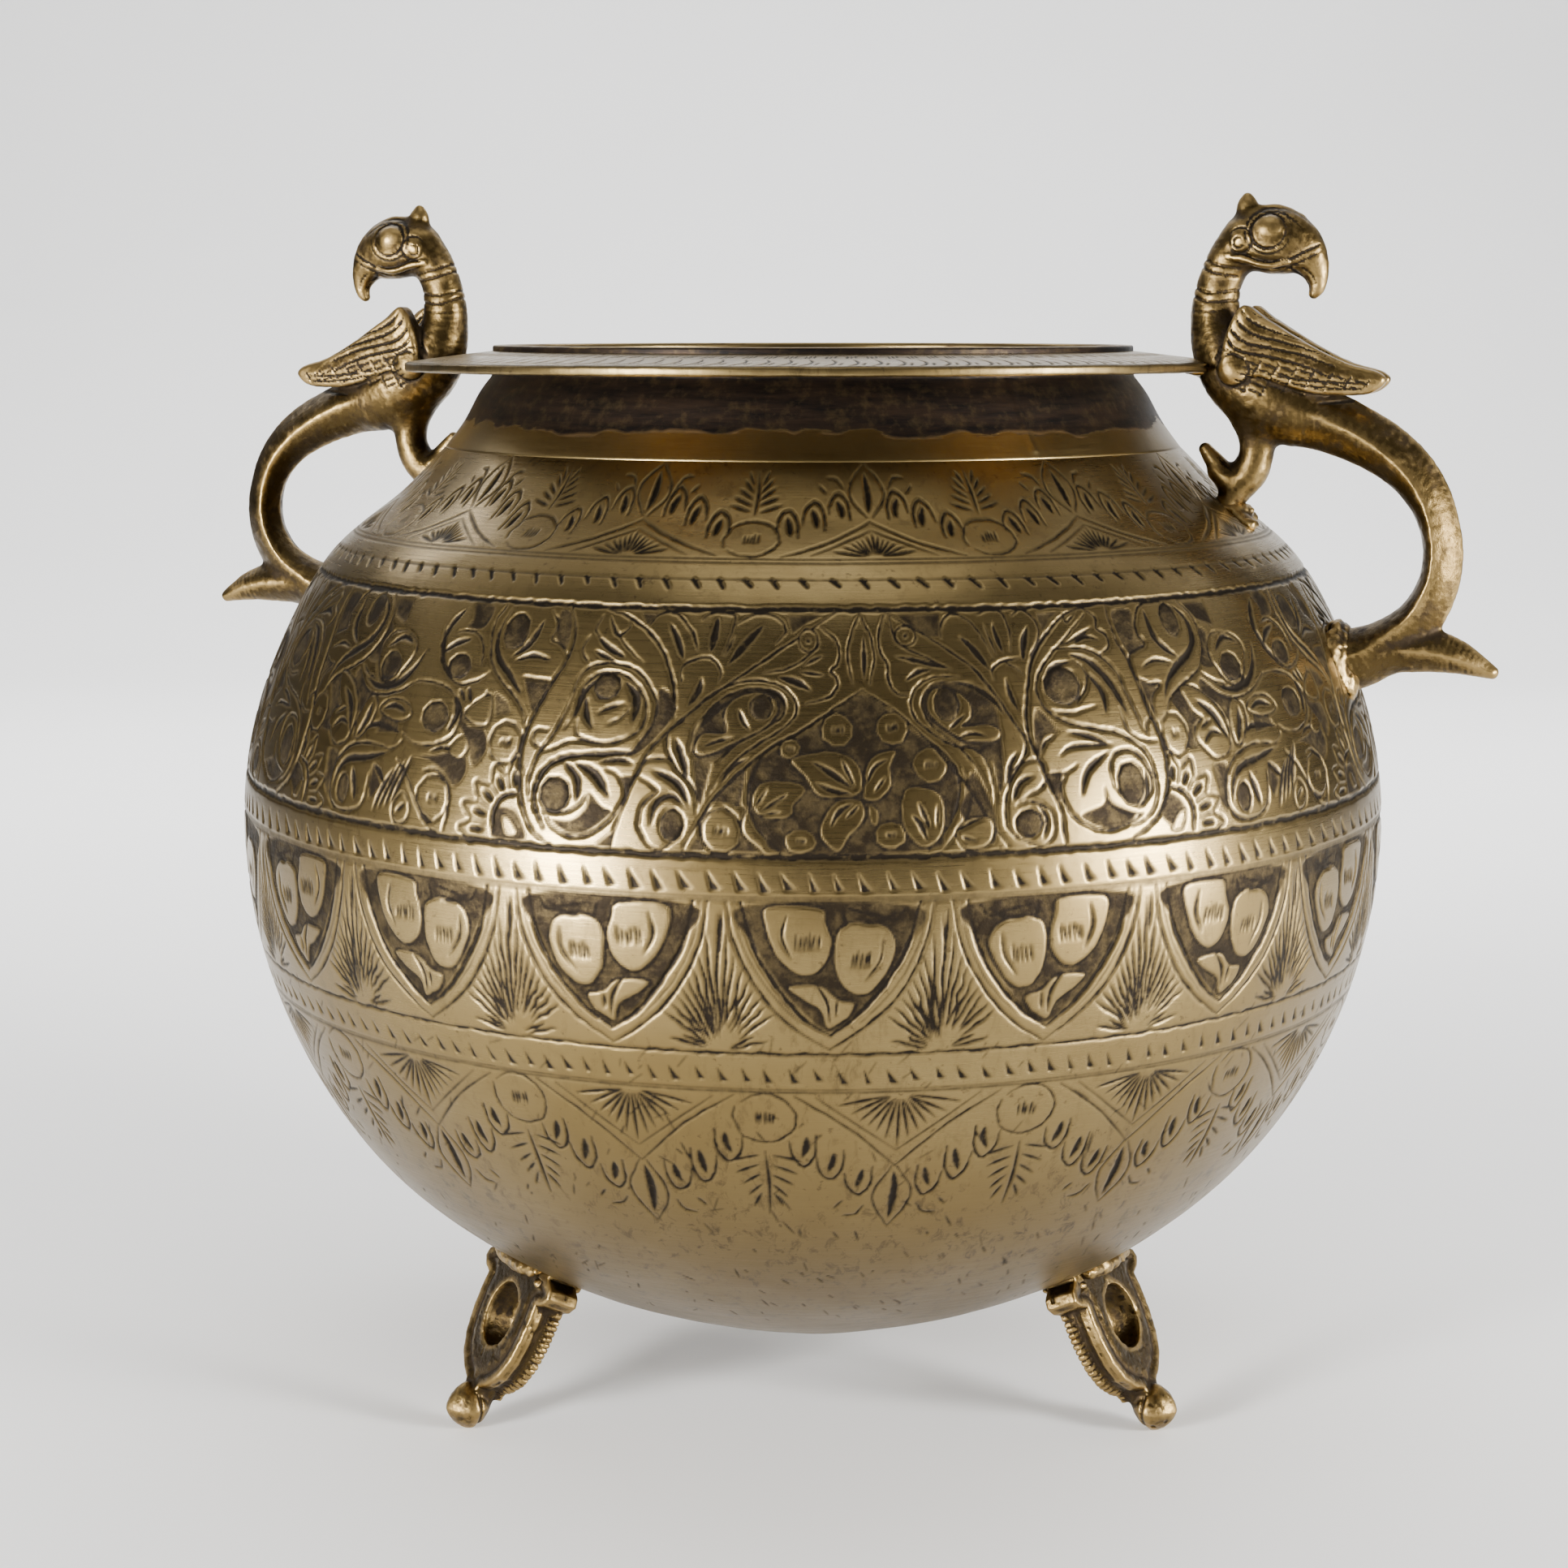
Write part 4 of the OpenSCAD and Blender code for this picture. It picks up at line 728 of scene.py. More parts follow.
class Block:
    """Voxels holding the distance to the metal's surface in millimetres, below 0 in the metal.
    Axes are x out along the piece's plane, y across, z up."""

    def __init__(self, lo, hi, step):
        self.lo = np.array(lo, float); self.step = step
        self.n = np.ceil((np.array(hi, float) - self.lo) / step).astype(int) + 1
        self.ax = [(self.lo[i] + np.arange(self.n[i]) * step).astype(np.float32) for i in range(3)]
        self.f = np.full(self.n, 5.0, np.float32)

    def window(self, lo, hi):
        s = []
        for i in range(3):
            a = max(0, int((lo[i] - self.lo[i]) / self.step)); b = min(self.n[i], int((hi[i] - self.lo[i]) / self.step) + 2)
            if b <= a:
                return None
            s.append(slice(a, b))
        return tuple(s), self.ax[0][s[0]][:, None, None], self.ax[1][s[1]][None, :, None], self.ax[2][s[2]][None, None, :]

    def join(self, s, d, k):
        f = self.f[s]
        if k:
            h = np.clip(0.5 + 0.5 * (f - d) / k, 0, 1)
            self.f[s] = f * (1 - h) + d * h - k * h * (1 - h)
        else:
            self.f[s] = np.minimum(f, d)

    def tube(self, P, k=1.5, p=2.0, m=4, pad=3.0):
        """A run of changing section through P: x, z, half height in the plane, half width across,
        then maybe the y of its middle, the offset of its ridge and its squareness."""
        P = np.array([list(q) + [0, 0, p][len(q) - 4:] for q in P], float)
        C = curve(P, m) if len(P) > 2 else P
        rad = C[:, 2:4].max() + pad
        lo = [C[:, 0].min() - rad, C[:, 4].min() - rad, C[:, 1].min() - rad]
        hi = [C[:, 0].max() + rad, C[:, 4].max() + rad, C[:, 1].max() + rad]
        base = self.window(lo, hi)
        if base is None:
            return
        bs = base[0]
        g = np.full([s.stop - s.start for s in bs], 5.0, np.float32)
        for A, B in zip(C[:-1], C[1:]):
            r = max(A[2], A[3], B[2], B[3]) + pad
            w = self.window([min(A[0], B[0]) - r, min(A[4], B[4]) - r, min(A[1], B[1]) - r],
                            [max(A[0], B[0]) + r, max(A[4], B[4]) + r, max(A[1], B[1]) + r])
            if w is None:
                continue
            s, X, Y, Z = w
            L = math.hypot(B[0] - A[0], B[1] - A[1]) + 1e-6
            tx, tz = (B[0] - A[0]) / L, (B[1] - A[1]) / L
            q = (X - A[0]) * tx + (Z - A[1]) * tz
            u = np.clip(q / L, 0, 1)
            e = q - u * L
            v = -(X - A[0]) * tz + (Z - A[1]) * tx
            a = A[2] + (B[2] - A[2]) * u; b = A[3] + (B[3] - A[3]) * u
            o = (A[5] + (B[5] - A[5]) * u) * a
            pp = 0.5 * (A[6] + B[6])
            yy = np.abs(Y - (A[4] + (B[4] - A[4]) * u)) / b
            v = v - o
            aa = np.where(v > 0, a - o, a + o)
            ww = np.sqrt(v * v + e * e) / aa
            rho = np.sqrt(ww * ww + yy * yy) if abs(pp - 2) < 0.02 else (ww ** pp + yy ** pp + 1e-9) ** (1 / pp)
            d = (rho - 1) * np.minimum(aa, b)
            t = tuple(slice(x.start - y.start, x.stop - y.start) for x, y in zip(s, bs))
            g[t] = np.minimum(g[t], d)
        self.join(bs, g, k)

    def ball(self, c, r, k=0.8, p=2.0):
        r = np.broadcast_to(np.array(r, float), 3)
        w = self.window(np.array(c) - r - 3, np.array(c) + r + 3)
        if w is None:
            return
        s, X, Y, Z = w
        q = (np.abs((X - c[0]) / r[0]) ** p + np.abs((Y - c[1]) / r[1]) ** p + np.abs((Z - c[2]) / r[2]) ** p) ** (1 / p)
        self.join(s, ((q - 1) * r.min()).astype(np.float32), k)

    def press(self, sheet, side=True):
        """Presses the drawing on an x-z sheet into the faces across y."""
        X, Z = np.meshgrid(self.ax[0], self.ax[2], indexing="ij")
        dep, dark = sheet.sample(X.astype(float), Z.astype(float))
        hit = dep.astype(np.float32)[:, None, :]
        if side:
            gy = np.abs(np.gradient(self.f, self.step, axis=1))
            hit = hit * np.clip((gy - 0.2) / 0.35, 0, 1)
        self.f += hit
        return dark

    def cut_pot(self, ang):
        """Takes the pot's own volume out of the piece; ang is not needed for a turned shape."""
        X, Y, Z = self.ax[0][:, None, None], self.ax[1][None, :, None], self.ax[2][None, None, :]
        R = np.interp(self.ax[2], PROF[:, 1], PROF[:, 0]).astype(np.float32)[None, None, :]
        s = np.interp(self.ax[2], PROF[:, 1], PL)
        nr = prof_n(s)[0].astype(np.float32)[None, None, :]
        top = (self.ax[2] < 252)[None, None, :]
        d = (R - 0.4 - np.sqrt(X * X + Y * Y)) * np.clip(nr, 0.2, 1)
        self.f = np.where(top, np.maximum(self.f, d), self.f)

    def mesh(self, name, turn, material, rough=0.07, seed=1, cell=1.6, offset=(0, 0, 0), sheets=(), lean=0.0):
        """The iso surface, turned by turn degrees about the pot's axis."""
        self.f += rough * noise3(self.f.shape, cell / self.step, seed) + 0.5 * rough * noise3(self.f.shape, 0.5 * cell / self.step, seed + 1)
        self.f[0], self.f[-1], self.f[:, 0], self.f[:, -1], self.f[:, :, 0], self.f[:, :, -1] = 3, 3, 3, 3, 3, 3
        f = np.clip(self.f, -3, 3)
        small = blur3(f, max(1, int(round(0.8 / self.step)))) - f
        wide = blur3(f, max(2, int(round(2.0 / self.step)))) - f
        G = vdb.FloatGrid(background=3.0)
        G.copyFromArray(np.ascontiguousarray(f))
        pts, quads = G.convertToQuads(isovalue=0.0)
        quads = np.asarray(quads, np.int64)
        i = np.clip(np.round(pts).astype(int), 0, self.n - 1)
        cav = -(1.6 * small + 0.9 * wide)[i[:, 0], i[:, 1], i[:, 2]]
        v = pts * self.step + self.lo
        dark = np.zeros(len(v))
        for sh in sheets:
            _, dk = sh.sample(v[:, 0], v[:, 2])
            gy = np.abs(np.gradient(f, self.step, axis=1))[i[:, 0], i[:, 1], i[:, 2]]
            dark = np.maximum(dark, dk * np.clip((gy - 0.2) / 0.3, 0, 1))
        if lean:
            c, s = math.cos(math.radians(lean)), math.sin(math.radians(lean))
            v = np.stack([v[:, 0] * c - v[:, 2] * s, v[:, 1], v[:, 0] * s + v[:, 2] * c], 1)
        v = v + np.array(offset)
        a = v[quads[:, 0]]; b = v[quads[:, 1]]; c3 = v[quads[:, 2]]
        if np.einsum("ij,ij->i", a, np.cross(b, c3)).sum() < 0:
            quads = quads[:, ::-1]
        c, s = math.cos(math.radians(turn)), math.sin(math.radians(turn))
        v = np.stack([v[:, 0] * c - v[:, 1] * s, v[:, 0] * s + v[:, 1] * c, v[:, 2]], 1)
        ob = mesh_object(name, v, quads, attrs={"cav": np.clip(cav, -1, 1), "cut": dark}, material=material)
        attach(ob, "root")
        return ob


# ------------------------------------------------------------------ bird handles
def bird_drawing():
    S = Sheet(95, 182, 188, 320, 0.15)
    L = lambda P, w=0.6, d=0.42, **k: S.line(P, w, d, wobble=0.06, taper=(0.4, 0.4), **k)
    # round the eye and cheek
    for r, d in ((4.25, 0.5), (5.6, 0.16)):
        L([(119.5 + r * math.cos(t), 306.4 + r * math.sin(t)) for t in np.linspace(0.2, 6.3, 16)], 0.75, d)
    L([(112.6 + 3.1 * math.cos(t), 304.2 + 3.1 * math.sin(t)) for t in np.linspace(-2.6, 2.6, 12)], 0.7, 0.45)
    L([(113.6, 303.2), (112.4, 302.2), (111, 303), (111.4, 304.8), (113, 305)], 0.5, 0.35)
    # cheek folds, cere and beak
    L([(110.5, 300.6), (113.5, 300.9), (116.2, 299.6), (120, 298.9), (124.5, 299.8)], 0.8, 0.5)
    L([(112.5, 299.2), (116.5, 297.9), (121, 297.4), (125, 298.6)], 0.55, 0.35)
    L([(121.5, 297.9), (126.5, 300.3), (131.8, 303.2)], 0.8, 0.5)
    L([(122.5, 296.6), (127.5, 299), (132.6, 301.6)], 0.5, 0.3)
    L([(124.6, 297.6), (126.8, 295.8), (128.8, 293.4), (129.4, 291)], 1.0, 0.75)
    L([(127.6, 297.6), (129.8, 295.8), (131, 293)], 0.45, 0.3)
    L([(114.6, 309.6), (118, 311.2), (123, 310.4), (128, 307)], 0.45, 0.22)
    # wing: long feathers from the shoulder
    for P in ([(110.2, 284.5), (111, 280.4), (114, 277.4), (120, 276.2), (127, 274.6), (134, 272.2)],
              [(110.8, 287), (112, 282.6), (115.6, 279.4), (122, 278), (129.5, 276.3), (137, 273.6)],
              [(112.2, 288), (114, 284), (118, 281.2), (124, 279.6), (131, 277.6), (138, 274.6)],
              [(113.8, 288.6), (116, 285.2), (120, 282.9), (125, 281.2), (131, 278.9)],
              [(115.4, 288.4), (118, 286), (122, 284.3), (126.5, 282)],
              [(117.4, 287.6), (120.4, 286), (123.6, 284.4)]):
        L(P, 0.75, 0.5)
    # small feathers below them
    for i in range(5):
        for j in range(7):
            x = 117.5 + 4.3 * j - 0.9 * i; z = 274.3 - 0.42 * (x - 117) * 0.42 - 1.75 * i + rng.uniform(-.2, .2)
            if z > 266.9 + 0.03 * (x - 120) and x < 146.5 and z < 282:
                L([(x - 2.1, z + 1.0), (x + 0.2, z + 0.2), (x + 2.0, z - 0.6)], 0.5, 0.38)
                L([(x + 2.0, z + 1.0), (x + 1.5, z - 0.1), (x + 0.7, z - 0.9)], 0.5, 0.36)
    for P in ([(121, 271.6), (130, 270.3), (139, 269.7), (147, 270)], [(124, 269.8), (133, 268.6), (141, 268.2), (146.6, 268.8)],
              [(108.4, 277.6), (110, 279.2), (110.8, 281.6)], [(107.6, 275.4), (109, 277.4), (111.5, 277.6)],
              [(115.5, 270.6), (116.6, 272.6), (116.4, 274.6)], [(111.5, 277.6), (114, 275.8), (116.2, 276)]):
        L(P, 0.6, 0.42)
    L([(112.4 + 4.0 * math.cos(t), 272.6 + 4.0 * math.sin(t)) for t in np.linspace(0, 6.28, 14)], 0.7, 0.35)
    L([(133, 264.6), (138, 264.9), (143.5, 265.4), (148, 264.2)], 1.0, 0.5)
    # toes
    L([(111.6, 247.6), (109.6, 249), (107.4, 251.4)], 0.4, 0.22)
    R = Sheet(95, 182, 188, 320, 0.15)
    for P, w, d in (([(99.5, 291.3), (105, 289.3), (112.4, 289.8)], 0.9, 0.42), ([(99.5, 293.4), (105, 291.6), (112.6, 292.2)], 0.8, 0.36),
                    ([(101, 298.8), (105.5, 296.6), (111.5, 295.4)], 0.9, 0.42), ([(101.5, 300.8), (106, 298.6), (112.2, 297.4)], 0.8, 0.36),
                    ([(99.6, 287.4), (105, 286.8), (109.4, 287.3)], 0.5, 0.16)):
        R.line(P, w, d, wobble=0.05)
    return S, R


MAIN = [(113, 304.5, 6, 5.6), (109.5, 300, 5.6, 5.2), (107, 294.5, 5.4, 5.1), (106, 288.5, 5.9, 5.6), (106.3, 283, 6.4, 6.4),
        (108.5, 277.5, 8, 8), (112.5, 272, 9.6, 9.5), (118.5, 267.3, 10.4, 10), (125, 264, 9.9, 9, 0, 0, 1.8), (132, 261.1, 8, 7.8, 0, 0.05, 1.5),
        (140, 257.9, 7.2, 7.2, 0, 0.05, 1.4), (148, 253.8, 6.7, 6.8, 0, -0.05, 1.35), (154.5, 248.8, 6.1, 6.5, 0, -0.15, 1.35),
        (159.3, 242.8, 5.5, 6.3, 0, -0.25, 1.35), (162.3, 236, 5.0, 6.1, 0, -0.35, 1.35), (163.7, 229, 4.9, 6.1, 0, -0.42, 1.35),
        (163.3, 222, 5.0, 6.1, 0, -0.45, 1.35), (161, 215.5, 5.3, 6.2, 0, -0.45, 1.35), (157, 209.8, 5.8, 6.5, 0, -0.4, 1.35),
        (151, 205, 6.6, 7.1, 0, -0.35, 1.4), (145, 201.9, 7.5, 7.7, 0, -0.25, 1.45), (138, 200.3, 8.2, 8.3, 0, -0.15, 1.6),
        (130, 199.4, 8.6, 8.6, 0, 0, 1.8)]
SPUR = [(150, 203.6, 5.4, 5.6), (156, 204.2, 5.9, 5.4), (162, 203.9, 5.4, 4.8), (167.5, 202.8, 4.4, 4.1), (172.5, 200.9, 3.0, 3.1), (176.6, 199.1, 1.7, 1.9)]
LEG = [(117, 262, 6.5, 6), (117.3, 256, 4.8, 4.8), (117, 251.5, 4.3, 4.4), (115.6, 247.5, 4.6, 4.4), (113, 243.8, 4.2, 4.2),
       (110.8, 240, 3.4, 4), (109.6, 236.5, 3.2, 4.4), (108.5, 232, 3.4, 4.8)]
CLAW = [(111.5, 245, 3.4, 3.2), (108.6, 247.5, 2.8, 2.7), (106, 250.6, 2.2, 2.2), (104.2, 252.9, 1.6, 1.7)]
WING = [(109.5, 276.5), (111, 283), (114.5, 288.5), (119.5, 285.5), (126, 281.5), (133, 277.5), (140, 274.3), (146.5, 272.6),
        (149, 270.8), (148.2, 268.8), (145, 267), (139, 266.6), (132, 267), (125, 268.8), (118, 270.8), (113, 270), (109.8, 272.5)]


def bird(name, turn, lift, material, seed, step=0.36):
    up = lambda z: lift * max(0.0, min(1.0, (270 - z) / 70))
    B = Block((97, -15, 189), (181, 15, 319), step)
    B.tube([(q[0], q[1] + up(q[1])) + tuple(q[2:]) for q in MAIN], 0)
    B.tube([(q[0], q[1] + up(q[1])) + tuple(q[2:]) for q in SPUR], 1.6, p=1.45)
    B.tube(LEG, 2.4)
    B.tube(CLAW, 1.6)
    B.tube([(111.5, 243, 3.2, 3), (109.8, 245.5, 3.0, 3.6), (107.2, 247, 2.2, 2.6)], 1.2)
    # head, beak, crest
    B.ball((119.6, 0, 304.2), (10.6, 7.0, 7.9), 2.2)
    B.tube([(122.5, 303.6, 7.2, 5.6), (126.6, 302, 5.9, 4.9), (129.6, 298.6, 4.0, 3.6), (130.9, 295, 2.6, 2.4), (130.9, 292.6, 1.9, 1.8), (130.2, 291.2, 1.3, 1.3)], 1.6)
    B.tube([(114, 309.3, 3.5, 2.8), (113.3, 312.4, 2.7, 2.2), (113.2, 314.4, 1.5, 1.4)], 1.2)
    B.tube([(116.5, 311.3, 1.4, 1.2), (121, 311.6, 1.3, 1.1), (126, 309.4, 1.1, 1.0)], 1.2)
    for s in (-1, 1):
        B.ball((119.5, 4.7 * s, 306.4), (4.1, 3.0, 3.7), 0.5)
        B.ball((112.6, 4.5 * s, 304.2), (2.6, 1.9, 2.6), 0.5)
        B.ball((112.4, 9.0 * s, 272.6), (4.0, 3.4, 3.9), 0.5)
        B.tube([(109.6, 300.4, 1.0, 1.0, 4.6 * s), (114, 299.6, 1.0, 1.0, 5.2 * s), (119, 298.2, 1.0, 1.0, 5.2 * s), (124, 299.2, 1.0, 1.0, 4.6 * s)], 0.5)
        # the wing stands off the body as a slab
        w = B.window((106, -14, 262), (152, 14, 292))
        sl, X, Y, Z = w
        d2 = poly_dist(curve(np.vstack([WING[-1:], WING, WING[:2]]), 4)[4:-4], X[:, 0, :].astype(float), Z[:, 0, :].astype(float))[:, None, :]
        u = np.clip((X - 110) / 39, 0, 1)
        yc = s * (8.3 - 4.0 * u ** 1.1)
        h = 2.9 - 1.5 * u
        dome = 1.3 * np.clip(-d2 / 5, 0, 1) ** 0.5          # the slab swells towards its middle
        dy = np.abs(Y - yc) - (h + dome) + 0.9
        d2 = d2 + 0.9
        d = np.hypot(np.maximum(d2, 0), np.maximum(dy, 0)) + np.minimum(np.maximum(d2, dy), 0) - 0.9
        B.join(sl, d.astype(np.float32), 0.9)
    S, R = bird_drawing()
    B.press(R, side=False)
    B.press(S)
    B.cut_pot(0)
    return B.mesh(name, turn, material, rough=0.06, seed=seed, sheets=(S,))


# ------------------------------------------------------------------ feet
FOOT = [(3.4, 9.2), (4.0, 11.4), (7.2, 12.9), (11.4, 16.4), (14.2, 21.6), (15.5, 28), (15.7, 33.6), (15.3, 37.6),
        (18.3, 38.7), (20.3, 40.8), (19.6, 43.2), (16.4, 45.2), (15, 54)]


def foot(name, az, material, seed, step=0.28):
    B = Block((-9.5, -22.5, -1.5), (9.5, 22.5, 50), step)
    X, Y, Z = B.ax[0][:, None, None], B.ax[1][None, :, None], B.ax[2][None, None, :]
    Q = np.array(FOOT + [(-x, z) for x, z in FOOT[::-1]], float)
    Y2, Z2 = np.meshgrid(B.ax[1].astype(float), B.ax[2].astype(float), indexing="ij")
    d2 = poly_dist(Q, Y2, Z2)[None]
    # eye through the casting, a little taller than wide
    eye = (np.hypot(Y2 / 7.6, (Z2 - 30.6) / 8.6) - 1)[None] * 7.6
    flare = 1.1 * np.clip(1 - np.abs(np.abs(X) - 2.6) / 1.6, 0, 1)     # the wall is ridge, groove, ridge
    side = np.clip(1 - np.abs(Z - 26) / 17, 0, 1) ** 0.3
    edge = d2 + 1.3 * np.clip(1 - np.abs(X + 0.4) / 2.0, 0, 1) ** 0.7 * side * (Z < 38)
    half = 4.5 - 0.5 * np.clip(1 - np.abs(d2 + 3.4) / 2.2, 0, 1) ** 2 * (Z < 44)   # sunk behind a raised rim
    dx = np.abs(X) - half + 0.8
    e = edge + 0.8
    body = np.hypot(np.maximum(e, 0), np.maximum(dx, 0)) + np.minimum(np.maximum(e, dx), 0) - 0.8
    # milled ticks along the back ridge
    ang = np.arctan2(Z2 - 31, Y2)[None]
    tick = np.clip(np.cos(ang * 62) - 0.15, 0, 1) * 0.55 * (d2 > -1.6) * (X < -1.2) * (Z < 37)
    body = body + tick
    k = 0.7
    h = np.clip(0.5 + 0.5 * (body + eye) / k, 0, 1)
    body = np.maximum(body, -eye) + 0 * h
    B.f = body.astype(np.float32)
    # collar between the casting and its toe, then the toe bead in local upright axes
    c, s = math.cos(math.radians(26)), math.sin(math.radians(26))
    B.tube([(0, 9.2, 2.9, 3.6), (0, 12.2, 3.0, 4.6)], 0.8)
    xw = X * c - Z * s; zw = X * s + Z * c          # upright position of each voxel
    q = (np.abs(xw / 6.1) ** 1.55 + np.abs(Y / 6.3) ** 1.55 + np.abs((zw - 6.2) / 6.3) ** 1.55) ** (1 / 1.55)
    toe = (q - 1) * 5.0
    q = np.sqrt((xw / 5.2) ** 2 + (Y / 5.4) ** 2 + ((zw - 6.2) / 5.6) ** 2)
    toe = np.minimum(toe, (q - 1) * 5.2)
    toe = toe + 0.5 * np.clip(1 - np.abs(xw + 1.3) / 0.7, 0, 1) * (zw < 11)     # groove round the bead
    toe = np.maximum(toe, 0.05 - zw)
    B.join((slice(None),) * 3, toe.astype(np.float32), 0.7)
    # pits from casting
    n1 = noise3(B.f.shape, 1.5 / step, seed); n2 = noise3(B.f.shape, 4.0 / step, seed + 5)
    B.f += 0.34 * np.clip(n1 * 1.3 + n2 * 0.9 - 0.75, 0, 1)
    # the pot's own volume comes out
    xr = 102.5 + xw
    R = np.interp(zw, PROF[:, 1], PROF[:, 0]).astype(np.float32)
    sx = np.interp(zw, PROF[:, 1], PL)
    nr, nz = prof_n(sx)
    d = (R - 0.4 - np.sqrt(xr * xr + Y * Y)) * np.clip(nr, 0.25, 1)
    B.f = np.where(zw > 20, np.maximum(B.f, d), B.f).astype(np.float32)
    return B.mesh(name, az, material, rough=0.05, seed=seed, cell=1.2, offset=(102.5, 0, 0), lean=26)


def blob(name, turn, parts, material, seed, keep_above=None, step=0.4, rough=0.3, k=1.2):
    """A mound of braze: several ellipsoids run together, with a lumpy skin."""
    P = np.array([c for c, r in parts]); Rr = np.array([np.broadcast_to(r, 3) for c, r in parts])
    B = Block((P - Rr).min(0) - 2, (P + Rr).max(0) + 2, step)
    for c, r in parts:
        B.ball(c, r, k)
    B.cut_pot(0)
    return B.mesh(name, turn, material, rough=rough, seed=seed, cell=2.2)


# ------------------------------------------------------------------ materials
class Mat:
    def __init__(self, name):
        self.m = bpy.data.materials.new(name)
        self.m.use_nodes = True
        self.t = self.m.node_tree
        self.t.nodes.clear()
        self.out = self.n("ShaderNodeOutputMaterial")
        self.b = self.n("ShaderNodeBsdfPrincipled")
        self.t.links.new(self.b.outputs[0], self.out.inputs[0])
        self.pos = self.n("ShaderNodeTexCoord").outputs["Object"]

    def n(self, kind, **props):
        x = self.t.nodes.new(kind)
        for k, v in props.items():
            setattr(x, k, v)
        return x

    def put(self, sock, v):
        if hasattr(v, "is_output") or isinstance(v, bpy.types.NodeSocket):
            self.t.links.new(v, sock)
        else:
            sock.default_value = v

    def attr(self, name):
        return self.n("ShaderNodeAttribute", attribute_name=name).outputs["Fac"]

    def math(self, op, a, b=0.0, clamp=False):
        x = self.n("ShaderNodeMath", operation=op, use_clamp=clamp)
        self.put(x.inputs[0], a); self.put(x.inputs[1], b)
        return x.outputs[0]

    def noise(self, scale, detail=4.0, rough=0.6, stretch=(1, 1, 1), dist=0.0):
        mp = self.n("ShaderNodeMapping")
        self.put(mp.inputs[0], self.pos)
        mp.inputs["Scale"].default_value = stretch
        x = self.n("ShaderNodeTexNoise")
        self.put(x.inputs["Vector"], mp.outputs[0])
        x.inputs["Scale"].default_value = scale
        x.inputs["Detail"].default_value = detail
        x.inputs["Roughness"].default_value = rough
        x.inputs["Distortion"].default_value = dist
        return x.outputs["Fac"]

    def ramp(self, fac, stops, ease="LINEAR"):
        x = self.n("ShaderNodeValToRGB")
        x.color_ramp.interpolation = ease
        el = x.color_ramp.elements
        while len(el) > 1:
            el.remove(el[-1])
        for i, (p, c) in enumerate(stops):
            e = el[0] if i == 0 else el.new(p)
            e.position = p
            e.color = tuple(c) + (1,) if hasattr(c, "__len__") else (c, c, c, 1)
        self.put(x.inputs[0], fac)
        return x.outputs[0]

    def range(self, v, a, b, c=0.0, d=1.0):
        x = self.n("ShaderNodeMapRange")
        self.put(x.inputs[0], v)
        for i, q in enumerate((a, b, c, d)):
            x.inputs[i + 1].default_value = q
        return x.outputs[0]

    def mix(self, f, a, b):
        x = self.n("ShaderNodeMix", data_type="RGBA")
        self.put(x.inputs[0], f)
        ins = [s for s in x.inputs if s.type == "RGBA"]
        for s, v in zip(ins, (a, b)):
            self.put(s, tuple(v) + (1,) if isinstance(v, (tuple, list)) and len(v) == 3 else v)
        return [o for o in x.outputs if o.type == "RGBA"][0]

    def bump(self, h, dist, strength=1.0, below=None):
        x = self.n("ShaderNodeBump")
        self.put(x.inputs["Height"], h)
        x.inputs["Distance"].default_value = dist
        x.inputs["Strength"].default_value = strength
        if below is not None:
            self.put(x.inputs["Normal"], below)
        return x.outputs[0]

    def done(self, **kw):
        for k, v in kw.items():
            self.put(self.b.inputs[k.replace("_", " ")], v)
        return self.m


BRASS_A = (0.250, 0.182, 0.078)
BRASS_B = (0.190, 0.134, 0.052)
DARK = (0.010, 0.007, 0.004)


